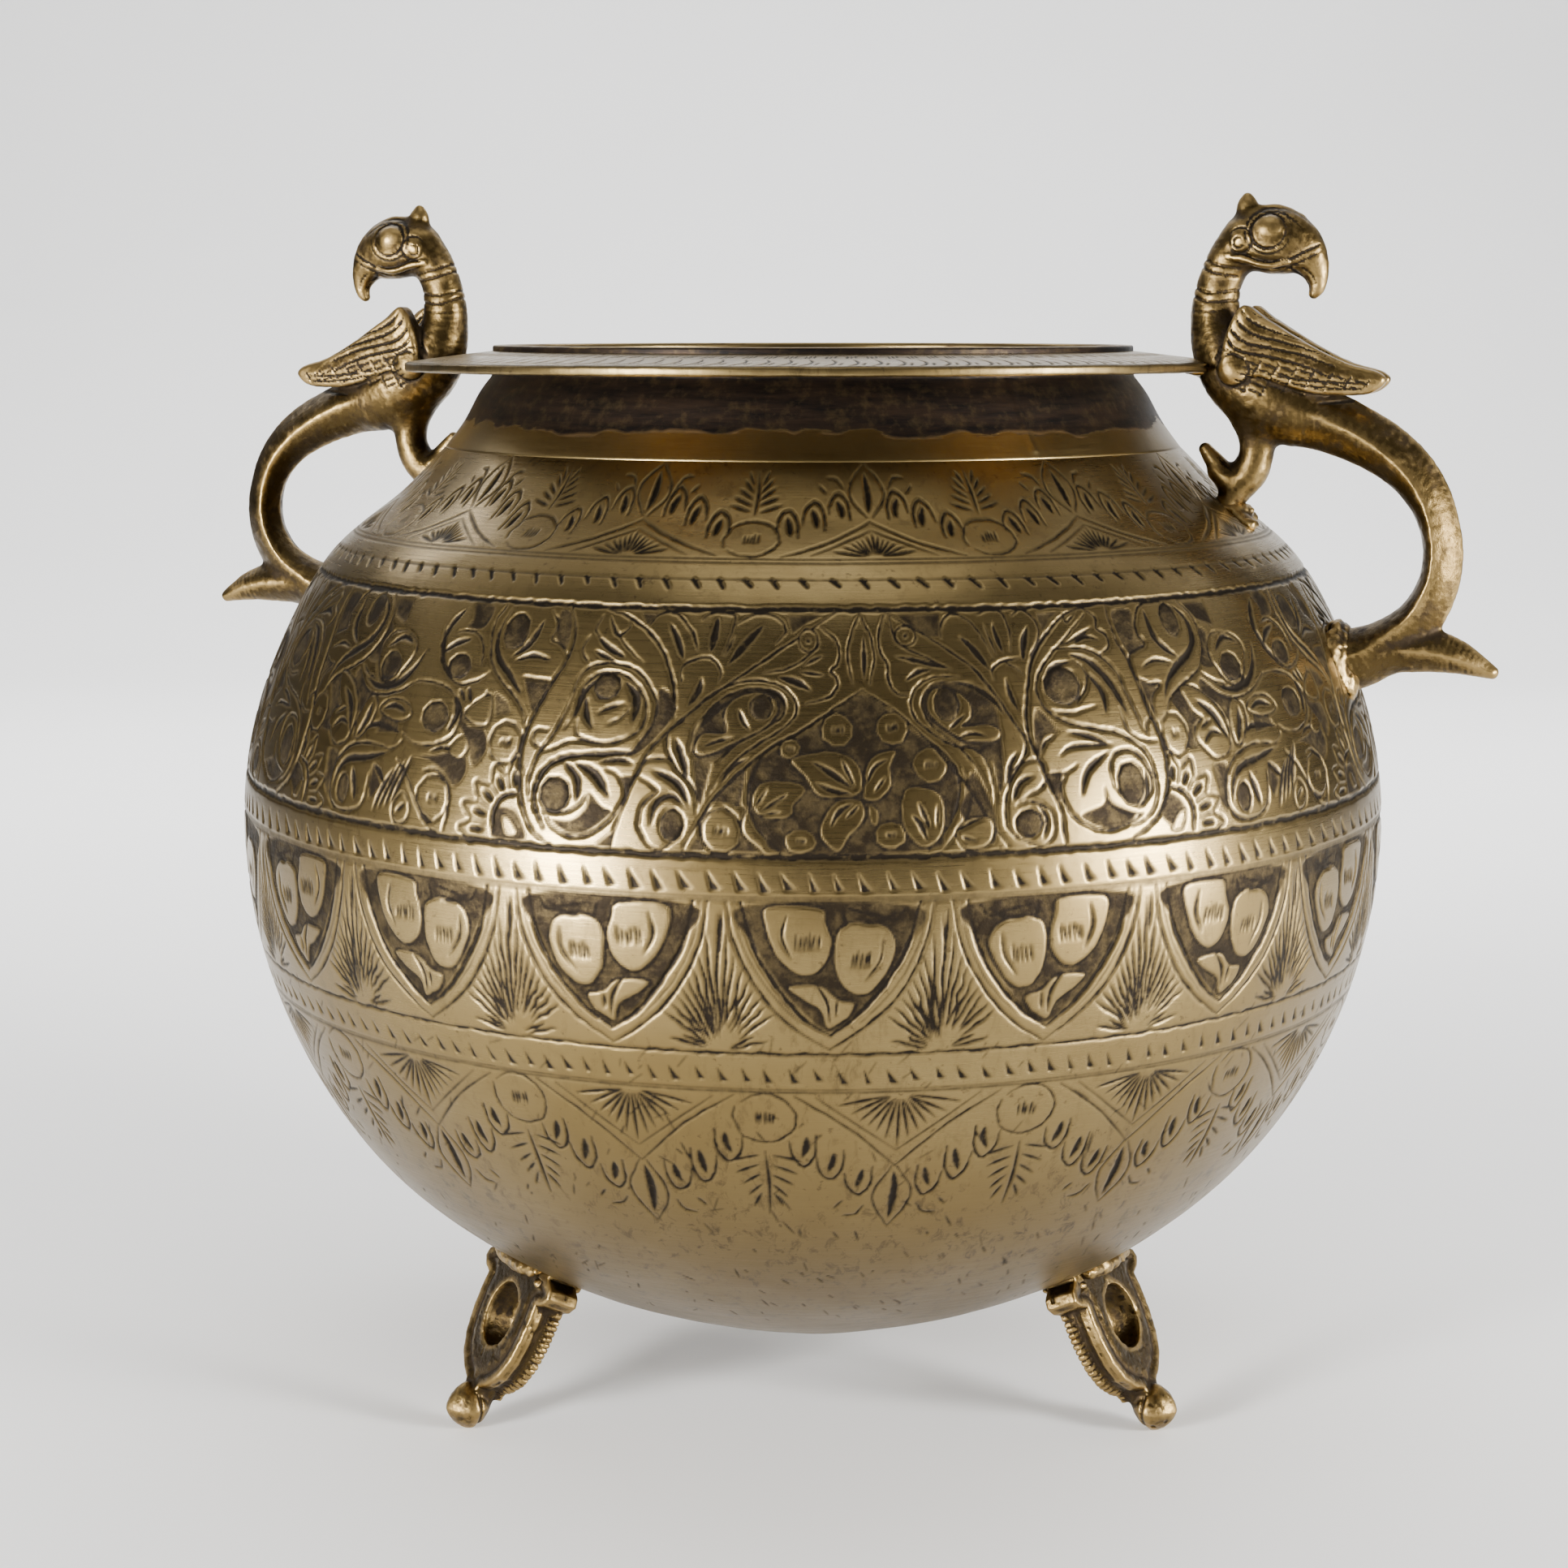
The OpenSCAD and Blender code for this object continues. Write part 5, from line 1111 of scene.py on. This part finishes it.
def sheet_brass(name="sheet_brass", plain=False, tint=1.0):
    M = Mat(name)
    a = tuple(c * tint for c in BRASS_A); b = tuple(c * tint for c in BRASS_B)
    tone = M.noise(14, 4, 0.55)
    warm = M.noise(34, 5, 0.6, dist=0.4)
    brush = M.noise(9, 6, 0.72, (7, 7, 260))
    base = M.mix(M.range(tone, 0.38, 0.62), a, b)
    base = M.mix(M.range(warm, 0.50, 0.78, 0, 0.45), base, (0.155, 0.102, 0.040))
    base = M.mix(M.range(brush, 0.35, 0.7, 0, 0.30), base, (0.165, 0.120, 0.052))
    # painted shade: the body's colour is darkened towards the bottom, from about z 120 mm down
    sep = M.n("ShaderNodeSeparateXYZ"); M.put(sep.inputs[0], M.pos)
    underside_shade = M.range(M.math("ADD", sep.outputs[2], M.range(warm, 0.3, 0.7, -0.012, 0.012)), 0.015, 0.120, 0.86, 0.0)
    base = M.mix(underside_shade, base, (0.072, 0.050, 0.024))
    speck = M.noise(420, 3, 0.65)
    base = M.mix(M.range(speck, 0.63, 0.72, 0, 0.55), base, (0.06, 0.042, 0.022))
    rough = M.math("ADD", M.range(tone, 0.35, 0.65, 0.25, 0.31), M.range(brush, 0.3, 0.7, -0.03, 0.06))
    metal = 1.0
    nrm = M.bump(brush, 0.00004, 0.6)
    nrm = M.bump(M.noise(75, 3, 0.5), 0.00018, 0.5, nrm)
    if not plain:
        cut, ground, grime = M.attr("cut"), M.attr("ground"), M.attr("grime")
        fine = M.noise(520, 4, 0.7)
        mid = M.noise(170, 4, 0.65)
        g = M.math("MULTIPLY", ground, M.range(mid, 0.40, 0.56, 0.42, 1.0))
        base = M.mix(g, base, (0.030, 0.021, 0.011))
        scratch = M.noise(120, 5, 0.7, (2.6, 2.6, 1.1), 0.5)
        base = M.mix(M.math("MULTIPLY", grime, M.range(scratch, 0.53, 0.66), clamp=True), base, (0.045, 0.032, 0.018))
        c = M.math("MULTIPLY", cut, M.range(fine, 0.25, 0.6, 0.80, 1.25), clamp=True)
        base = M.mix(c, base, DARK)
        rough = M.math("ADD", rough, M.math("MULTIPLY", c, 0.25))
        rough = M.math("ADD", rough, M.math("MULTIPLY", ground, 0.14))
        rough = M.math("ADD", rough, M.math("MULTIPLY", underside_shade, 0.16))
        metal = M.math("SUBTRACT", 1.0, M.math("MULTIPLY", c, 0.12))
        nrm = M.bump(M.math("MULTIPLY", ground, mid), 0.0005, 0.8, nrm)
    return M.done(Base_Color=base, Roughness=rough, Metallic=metal, Normal=nrm)


def cast_brass(name, light, deep, warm=0.5, dirt=1.0, pit=1.0):
    M = Mat(name)
    cav, cut = M.attr("cav"), M.attr("cut")
    big = M.noise(42, 4, 0.6)
    mid = M.noise(160, 5, 0.65)
    fine = M.noise(620, 4, 0.7)
    base = M.mix(M.range(big, 0.35, 0.65), light, tuple(c * 0.72 for c in light))
    base = M.mix(M.range(mid, 0.45, 0.7, 0, 0.55), base, deep)
    shade = M.math("ADD", M.range(cav, -0.03, 0.22, 0, 1), M.math("MULTIPLY", M.range(mid, 0.42, 0.62, -0.25, 0.35), dirt))
    shade = M.math("MULTIPLY", shade, M.range(fine, 0.3, 0.6, 0.7, 1.15), clamp=True)
    base = M.mix(M.math("MULTIPLY", shade, 0.9), base, (0.022, 0.014, 0.007))
    base = M.mix(M.math("MULTIPLY", cut, 0.9), base, DARK)
    # raised parts turn lighter: partly rubbed wear, partly a painted highlight
    wear_and_highlight = M.range(cav, -0.12, -0.40, 0, 0.70)
    base = M.mix(wear_and_highlight, base, (0.34, 0.232, 0.088))
    rough = M.math("ADD", M.range(mid, 0.3, 0.7, 0.30, 0.44), M.math("MULTIPLY", shade, 0.22))
    metal = M.math("SUBTRACT", 1.0, M.math("MULTIPLY", M.math("MAXIMUM", shade, cut), 0.15))
    nrm = M.bump(mid, 0.00045 * pit, 0.5)
    nrm = M.bump(fine, 0.00016 * pit, 0.6, nrm)
    return M.done(Base_Color=base, Roughness=rough, Metallic=metal, Normal=nrm)


def neck_material():
    # the dark band on the neck is partly brown patina and partly a painted shadow of the flange above it
    M = Mat("neck_patina_and_shadow")
    patina_and_shadow = M.attr("patina_and_shadow")
    streak = M.noise(16, 6, 0.7, (3, 3, 30))
    cloud = M.noise(26, 5, 0.6)
    fine = M.noise(300, 4, 0.65)
    brass = M.mix(M.range(cloud, 0.35, 0.65), BRASS_A, BRASS_B)
    brown = M.mix(M.range(streak, 0.38, 0.64), (0.026, 0.016, 0.010), (0.006, 0.005, 0.005))
    brown = M.mix(M.range(cloud, 0.56, 0.74, 0, 0.6), brown, (0.050, 0.030, 0.016))
    f = M.range(M.math("ADD", patina_and_shadow, M.range(streak, 0.3, 0.7, -0.32, 0.32)), 0.42, 0.58)
    f = M.math("MULTIPLY", f, M.range(fine, 0.3, 0.5, 0.86, 1.0))
    base = M.mix(f, brass, brown)
    edge = M.range(M.math("ABSOLUTE", M.math("SUBTRACT", patina_and_shadow, 0.45)), 0.0, 0.25, 0.8, 0)
    base = M.mix(M.math("MULTIPLY", edge, M.range(streak, 0.42, 0.6)), base, (0.17, 0.105, 0.045))
    rough = M.math("ADD", 0.33, M.math("MULTIPLY", f, 0.16))
    metal = M.math("SUBTRACT", 1.0, M.math("MULTIPLY", f, 0.15))
    nrm = M.bump(streak, 0.0002, 0.5)
    nrm = M.bump(fine, 0.00008, 0.5, nrm)
    return M.done(Base_Color=base, Roughness=rough, Metallic=metal, Normal=nrm)


mat_sheet = sheet_brass()
mat_flange = sheet_brass("flange_brass")
mat_cast = cast_brass("cast_brass", (0.092, 0.061, 0.022), (0.032, 0.020, 0.008), dirt=1.7)
mat_foot = cast_brass("foot_brass", (0.078, 0.052, 0.020), (0.026, 0.018, 0.008), dirt=1.9, pit=1.6)
mat_braze = cast_brass("braze_brass", (0.092, 0.063, 0.028), (0.030, 0.021, 0.010), dirt=1.8, pit=1.5)
mat_neck = neck_material()


# ------------------------------------------------------------------ globe
def soft(a):
    a = (a + np.roll(a, 1, 1) + np.roll(a, -1, 1)) / 3
    b = a.copy()
    b[1:-1] = (a[:-2] + a[1:-1] + a[2:]) / 3
    return b


def globe(sheet, cols=2304):
    s = np.concatenate([np.arange(0.0, 60, 4.0), np.arange(60, 142.6, 0.7), np.arange(142.8, TOP, 0.42), [TOP]])
    th = np.arange(cols) * 2 * np.pi / cols
    x = 150 * ((th + math.radians(71) + math.pi) % (2 * math.pi) - math.pi)
    sheet.depth, sheet.dark, sheet.ground = soft(sheet.depth), soft(sheet.dark), soft(sheet.ground)
    X, S = np.meshgrid(x, s)
    dep, dark = sheet.sample(X, S)
    d0 = sheet.dark; sheet.dark = sheet.ground
    _, ground = sheet.sample(X, S)
    sheet.dark = d0
    r, z = prof(s); nr, nz = prof_n(s)
    nr[0], nz[0] = 0, -1
    # the hammered shell is not quite round
    even = np.linspace(0, TOP, 240)
    def spread(a):
        i = np.interp(s, even, np.arange(240)); i0 = np.minimum(i.astype(int), 238); f = (i - i0)[:, None]
        return a[i0] * (1 - f) + a[i0 + 1] * f
    wob = 0.22 * spread(smooth_noise((240, cols), (30, 100), 3, 2)) + 0.05 * spread(smooth_noise((240, cols), (8, 26), 4, 2))
    wob *= np.clip(s / 40, 0, 1)[:, None] * np.clip((TOP - s) / 6, 0, 1)[:, None]
    off = wob - dep
    R = np.maximum(r[:, None] + nr[:, None] * off, 0.01); Z = z[:, None] + nz[:, None] * off
    low = np.clip((178 - S) / 40, 0, 1) * np.clip((S - 30) / 60, 0, 1)
    grime = 0.18 + 0.42 * low + 0.45 * np.clip(spread(smooth_noise((240, cols), (26, 90), 9, 3)), 0, 1)
    v = np.stack([R * np.cos(th), R * np.sin(th), Z], -1).reshape(-1, 3)
    f = grid_faces(len(s), cols)
    uv = np.stack([np.broadcast_to(np.arange(cols) / cols, X.shape), np.broadcast_to(0.01 + 0.80 * s[:, None] / TOP, X.shape)], -1).reshape(-1, 2)
    # inside wall
    si = np.arange(0.0, TOP + 4, 4.0); si[-1] = TOP
    ci = 288
    ri, zi = prof(si); nri, nzi = prof_n(si); nri[0], nzi[0] = 0, -1
    ri = np.maximum(ri - 2 * nri, 0.01); zi = zi - 2 * nzi
    ti = np.arange(ci) * 2 * np.pi / ci
    vi = np.stack([ri[:, None] * np.cos(ti), ri[:, None] * np.sin(ti), np.broadcast_to(zi[:, None], (len(si), ci))], -1).reshape(-1, 3)
    fi = grid_faces(len(si), ci, flip=True)
    uvi = np.stack([np.broadcast_to(np.arange(ci) / ci, (len(si), ci)), np.broadcast_to(0.83 + 0.16 * si[:, None] / TOP, (len(si), ci))], -1).reshape(-1, 2)
    n0 = len(v)
    V = np.vstack([v, vi]); F = np.vstack([f, fi + n0]); UV = np.vstack([uv, uvi])
    loop = UV[F]
    wrapf = (loop[..., 0].max(1) - loop[..., 0].min(1)) > 0.5
    u = loop[..., 0]; u[wrapf[:, None] & (u < 0.5)] += 1
    z1 = np.zeros(len(vi))
    ob = mesh_object("body_globe", V, F, material=mat_sheet, uv=loop.reshape(-1, 2),
                     attrs={"cut": np.r_[dark.ravel(), z1], "ground": np.r_[ground.ravel(), z1], "grime": np.r_[grime.ravel(), z1 + 0.8]})
    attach(ob, "root"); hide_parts("body_shell")
    return ob


def neck():
    out = curve(NECK, 12)
    t = np.hypot(*np.gradient(out, axis=0).T)[:, None]
    nrm = np.gradient(out, axis=0)[:, ::-1] * [1, -1] / t
    inn = out - nrm * 2.0
    inn[:, 0] = np.maximum(inn[:, 0], 81.5)
    lip = [(83.5, z) for z in np.arange(273, 277.9, 0.8)] + [(83.42, 278.2), (83.1, 278.45), (82.5, 278.5), (81.9, 278.42), (81.6, 278.1)]
    lip += [(81.5, z) for z in np.arange(277.5, 271.4, -1.0)]
    pts = np.vstack([out, lip, inn[inn[:, 1] < 271][::-1]])
    cols = 1440
    th = np.arange(cols) * 2 * np.pi / cols
    n = smooth_noise((len(pts), cols), (6, 30), 21, 4)
    # the neck goes dark brown above a ragged line near z 258.6: partly patina, partly a painted shadow of the flange;
    # the band eases off above z 274 on the lip
    edge = 258.6 + 2.6 * smooth_noise((3, cols), (2, 90), 22, 4)[1] + 1.6 * smooth_noise((3, cols), (2, 18), 23, 3)[1]
    patina_and_shadow = np.clip(0.5 + (pts[:, 1][:, None] - edge[None]) / 3.2, 0, 1)
    nout = len(out) + 5
    fade = np.clip((pts[:, 1][:, None] - 274) / 6, 0, 1) * 0.35
    patina_and_shadow = patina_and_shadow - fade
    patina_and_shadow[nout + 3:] = 0.32 + 0.2 * n[nout + 3:]

    def wob(R, Z, th):
        w = 0.14 * smooth_noise(R.shape, (14, 60), 24, 3) * (R < 95)
        # brazed seam down the neck, at the right as seen from the front
        a = math.radians(0.0)
        d = (th - math.radians(-38) + math.pi) % (2 * math.pi) - math.pi
        w = w + 0.35 * np.exp(-(d * 90 / 0.9) ** 2) * (Z > 254) * (Z < 271)
        return R + w, Z
    ob = revolve("neck_collar_visual", pts, cols, mat_neck, wobble=wob, attrs={"patina_and_shadow": patina_and_shadow})
    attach(ob, "root"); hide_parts("neck_collar")


def flange():
    """The flat ring round the mouth, with feather strokes struck into its upper face."""
    S = Sheet(-math.pi * 95, math.pi * 95, 83, 106.5, 0.2, wrap=True)
    n = 118
    for i in range(n):
        x = (i / n - 0.5) * 2 * math.pi * 95 + rng.uniform(-.3, .3)
        S.line([(x, 104.6), (x + 2.1, 101.5), (x + 2.9, 97.5), (x + 2.2, 93.5)], 0.8, 0.35, wobble=0.08, taper=(0.5, 0.3))
        for k in range(3):
            S.leafcut([(x + 0.9 + 1.1 * k, 92.4 - 0.5 * k), (x + 1.6 + 1.1 * k, 87.4 - 0.3 * k)], 0.8, 0.3)
        S.leafcut([(x + 3.2, 103.4), (x + 4.4, 99.4)], 0.7, 0.28)
    S.line([(x, 105.2) for x in np.linspace(-math.pi * 95, math.pi * 95, 400)], 0.5, 0.2)
    cols = 1700
    rr = np.r_[83.5, np.arange(84, 105.6, 0.45)]
    top = [(r, 277 - (r - 83.5) / 22.5 * 2.6) for r in rr]
    bot = [(r, 277 - (r - 83.5) / 22.5 * 2.6 - 2.4) for r in rr[::-1][::2]]
    rim = [(105.85, 274.25), (106, 273.8), (106, 272.7), (105.8, 272.2)]
    pts = np.array(top + rim + bot)
    th = np.arange(cols) * 2 * np.pi / cols
    x = 95 * ((th + math.pi) % (2 * math.pi) - math.pi)
    X, RR = np.meshgrid(x, pts[:, 0])
    dep, dark = S.sample(X, RR)
    dep[len(top):] = 0; dark[len(top):] = 0
    nz = 0.10 * smooth_noise(dep.shape, (6, 14), 31, 3)
    sag = 0.5 * smooth_noise((3, cols), (2, 300), 33, 2)[1][None]

    def wob(R, Z, th):
        t = np.clip((R - 90) / 16, 0, 1)
        return R + 0.25 * t * smooth_noise((3, cols), (2, 60), 32, 3)[1][None], Z - dep + sag * t + nz * t
    # the rim and underside of the flange get the ground mask at 0.35, which makes them darker and rougher than the top
    # face
    ground = np.zeros(dep.shape); ground[len(top):] = 0.35
    ob = revolve("rim_flange_visual", pts, cols, mat_flange, wobble=wob,
                 attrs={"cut": dark, "ground": ground, "grime": np.full(dep.shape, 0.5)})
    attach(ob, "root"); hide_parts("rim_flange")


def rim_fillet():
    pts = [(83.45, 272.0), (83.5, 274.7), (84.6, 274.6), (86.2, 274.35), (86.4, 274.1), (85.2, 273.4), (84.2, 272.7)]

    def wob(R, Z, th):
        n = smooth_noise((len(pts), len(th)), (2, 10), 41, 3)
        return R + 0.35 * n * (R > 83.6), Z - 0.3 * np.abs(n) * (R > 83.6)
    ob = revolve("rim_braze_visual", pts, 720, mat_braze, wobble=wob)
    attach(ob, "root"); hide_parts("rim_braze")


globe(SHEET)
neck()
flange()
rim_fillet()

for side, turn, lift in (("right", 0, 0), ("left", 180, 8)):
    ob = bird("bird_" + side, turn, lift, mat_cast, 100 + turn)
    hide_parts("bird_handle_" + side)
    ob = blob("breast_joint_" + side, turn, [((101.6, 0, 273.3), (4.6, 6.2, 1.9)), ((103.2, 3.6, 272.6), (3.2, 3.0, 2.2)), ((103.0, -4.0, 273.0), (3.0, 2.6, 2.0))], mat_braze, 201 + turn, rough=0.25)
    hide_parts("breast_braze_" + side)
    ob = blob("leg_joint_" + side, turn, [((111.0, 0, 237.2), (5.6, 5.8, 3.0)), ((113.6, -3.4, 234.4), (5.2, 3.4, 2.6)), ((112.8, 4.2, 235.2), (4.2, 3.6, 2.4))], mat_braze, 211 + turn, rough=0.3)
    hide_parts("leg_braze_" + side)
    zt = 199.8 + (8 if lift else 0)
    ob = blob("tail_joint_" + side, turn, [((138.6, 0, zt), (5.4, 10.4, 11.0)), ((137.8, 4.6, zt + 4.2), (5.0, 5.4, 6.0)), ((140.2, -3.0, zt - 4.6), (4.6, 6.4, 6.0))], mat_braze, 221 + turn, rough=0.35)
    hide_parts("tail_braze_" + side)

for side, az in (("right", -11), ("left", -132), ("back", 108)):
    ob = foot("foot_" + side + "_casting", az, mat_foot, 300 + az)
    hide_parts("foot_" + side)
    ob = blob("foot_joint_" + side, az, [((88.0, 0, 43.4), (3.4, 13.2, 2.8)), ((76.6, 0, 36.8), (3.4, 12.6, 2.8)), ((82.4, 12.2, 40.0), (5.6, 3.0, 2.6)), ((82.4, -12.4, 40.2), (5.6, 3.0, 2.6))], mat_braze, 330 + az, rough=0.35)
    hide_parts("foot_braze_" + side)

# ------------------------------------------------------------------ camera, light, floor
c19, s19 = math.cos(VIEW), math.sin(VIEW)


def place(x, y, z):
    """A point given as seen from the camera: x right, y away, z up, in mm from the pot's foot."""
    return Vector(((x * c19 - y * s19) * MM, (x * s19 + y * c19) * MM, z * MM))


cam = bpy.data.cameras.new("camera")
cam.sensor_width = 36; cam.sensor_fit = "HORIZONTAL"
cam.lens = 3450 / 1932 * 36
cam.clip_start = 0.05; cam.clip_end = 20
co = bpy.data.objects.new("camera", cam)
co.location = place(-7.5, -743, 284)
co.rotation_euler = (math.radians(90 - 9.34), 0, VIEW)
bpy.context.scene.collection.objects.link(co)
bpy.context.scene.camera = co


def softbox(name, at, look, size, power, color=(1, 1, 1)):
    L = bpy.data.lights.new(name, "AREA")
    L.shape = "RECTANGLE"; L.size, L.size_y = size
    L.energy = power; L.color = color
    o = bpy.data.objects.new(name, L)
    o.location = place(*at)
    d = place(*look) - o.location
    o.rotation_euler = d.to_track_quat("-Z", "Y").to_euler()
    bpy.context.scene.collection.objects.link(o)
    return o


softbox("key_left", (-863, -834, 250), (0, 0, 175), (0.28, 0.44), 38, (1, 0.985, 0.96))
softbox("key_right", (1050, -582, 250), (0, 0, 175), (0.26, 0.44), 38, (1, 0.985, 0.96))
softbox("top", (0, -250, 1500), (0, 0, 150), (1.0, 0.8), 4)
softbox("back", (0, 900, 1100), (0, 1500, 250), (2.6, 0.8), 60)

W = bpy.data.worlds.new("studio")
bpy.context.scene.world = W
W.use_nodes = True
wt = W.node_tree
wt.nodes.clear()
wo = wt.nodes.new("ShaderNodeOutputWorld")
bg = wt.nodes.new("ShaderNodeBackground")
wt.links.new(bg.outputs[0], wo.inputs[0])
geo = wt.nodes.new("ShaderNodeTexCoord")
dot = wt.nodes.new("ShaderNodeVectorMath"); dot.operation = "DOT_PRODUCT"
wt.links.new(geo.outputs["Generated"], dot.inputs[0])
dot.inputs[1].default_value = (-s19, c19, 0)          # 1 behind the pot, -1 behind the camera
rmp = wt.nodes.new("ShaderNodeValToRGB")
mr = wt.nodes.new("ShaderNodeMapRange")
wt.links.new(dot.outputs["Value"], mr.inputs[0])
mr.inputs[1].default_value = -1; mr.inputs[2].default_value = 1
wt.links.new(mr.outputs[0], rmp.inputs[0])
el = rmp.color_ramp.elements
el[0].position = 0.0; el[0].color = (0.13, 0.125, 0.115, 1)
el[1].position = 1.0; el[1].color = (1, 1, 1, 1)
for p, v in ((0.30, 0.12), (0.50, 0.22), (0.64, 0.9)):
    e = el.new(p); e.color = (v, v * 0.985, v * 0.96, 1)
wt.links.new(rmp.outputs[0], bg.inputs[0])
bg.inputs[1].default_value = 1.0

F = Mat("floor_paper")
fl = F.done(Base_Color=F.mix(F.range(F.noise(3, 3, 0.5), 0.3, 0.7), (0.90, 0.90, 0.90), (0.87, 0.87, 0.87)), Roughness=0.9, Emission_Color=(1, 1, 1, 1), Emission_Strength=0.02)
# a paper sweep: flat under the pot, turned up behind it
prof_f = [(-9000, -0.05)] + [(1500 + 1200 * math.sin(q), 1200 * (1 - math.cos(q)) - 0.05) for q in np.linspace(0, math.pi / 2, 24)] + [(2700, 4200)]
vf, ff = [], []
for i, (yy, zz) in enumerate(prof_f):
    for xx in (-9000, 9000):
        vf.append(tuple(place(xx, yy, zz) / MM))
    if i:
        ff.append((2 * i - 2, 2 * i - 1, 2 * i + 1, 2 * i))
floor = mesh_object("floor", vf, ff, material=fl)

# two black flags that only reflections see, as a photographer hangs them to darken a shiny pot's edges
fb = Mat("flag_cloth")
black = fb.done(Base_Color=fb.mix(fb.range(fb.noise(40, 3, 0.6), 0.3, 0.7), (0.012, 0.011, 0.010), (0.020, 0.018, 0.016)), Roughness=0.95)
for side, xa, ya, xb, yb in (("left", -1500, 150, -700, 1250), ("right", 1500, 250, 900, 1150)):
    q = [tuple(place(x, y, z) / MM) for x, y, z in ((xa, ya, 0.5), (xb, yb, 0.5), (xb, yb, 900), (xa, ya, 900))]
    flag = mesh_object("flag_" + side, q, [(0, 1, 2, 3)], material=black)
    flag.visible_camera = flag.visible_diffuse = flag.visible_shadow = flag.visible_transmission = False
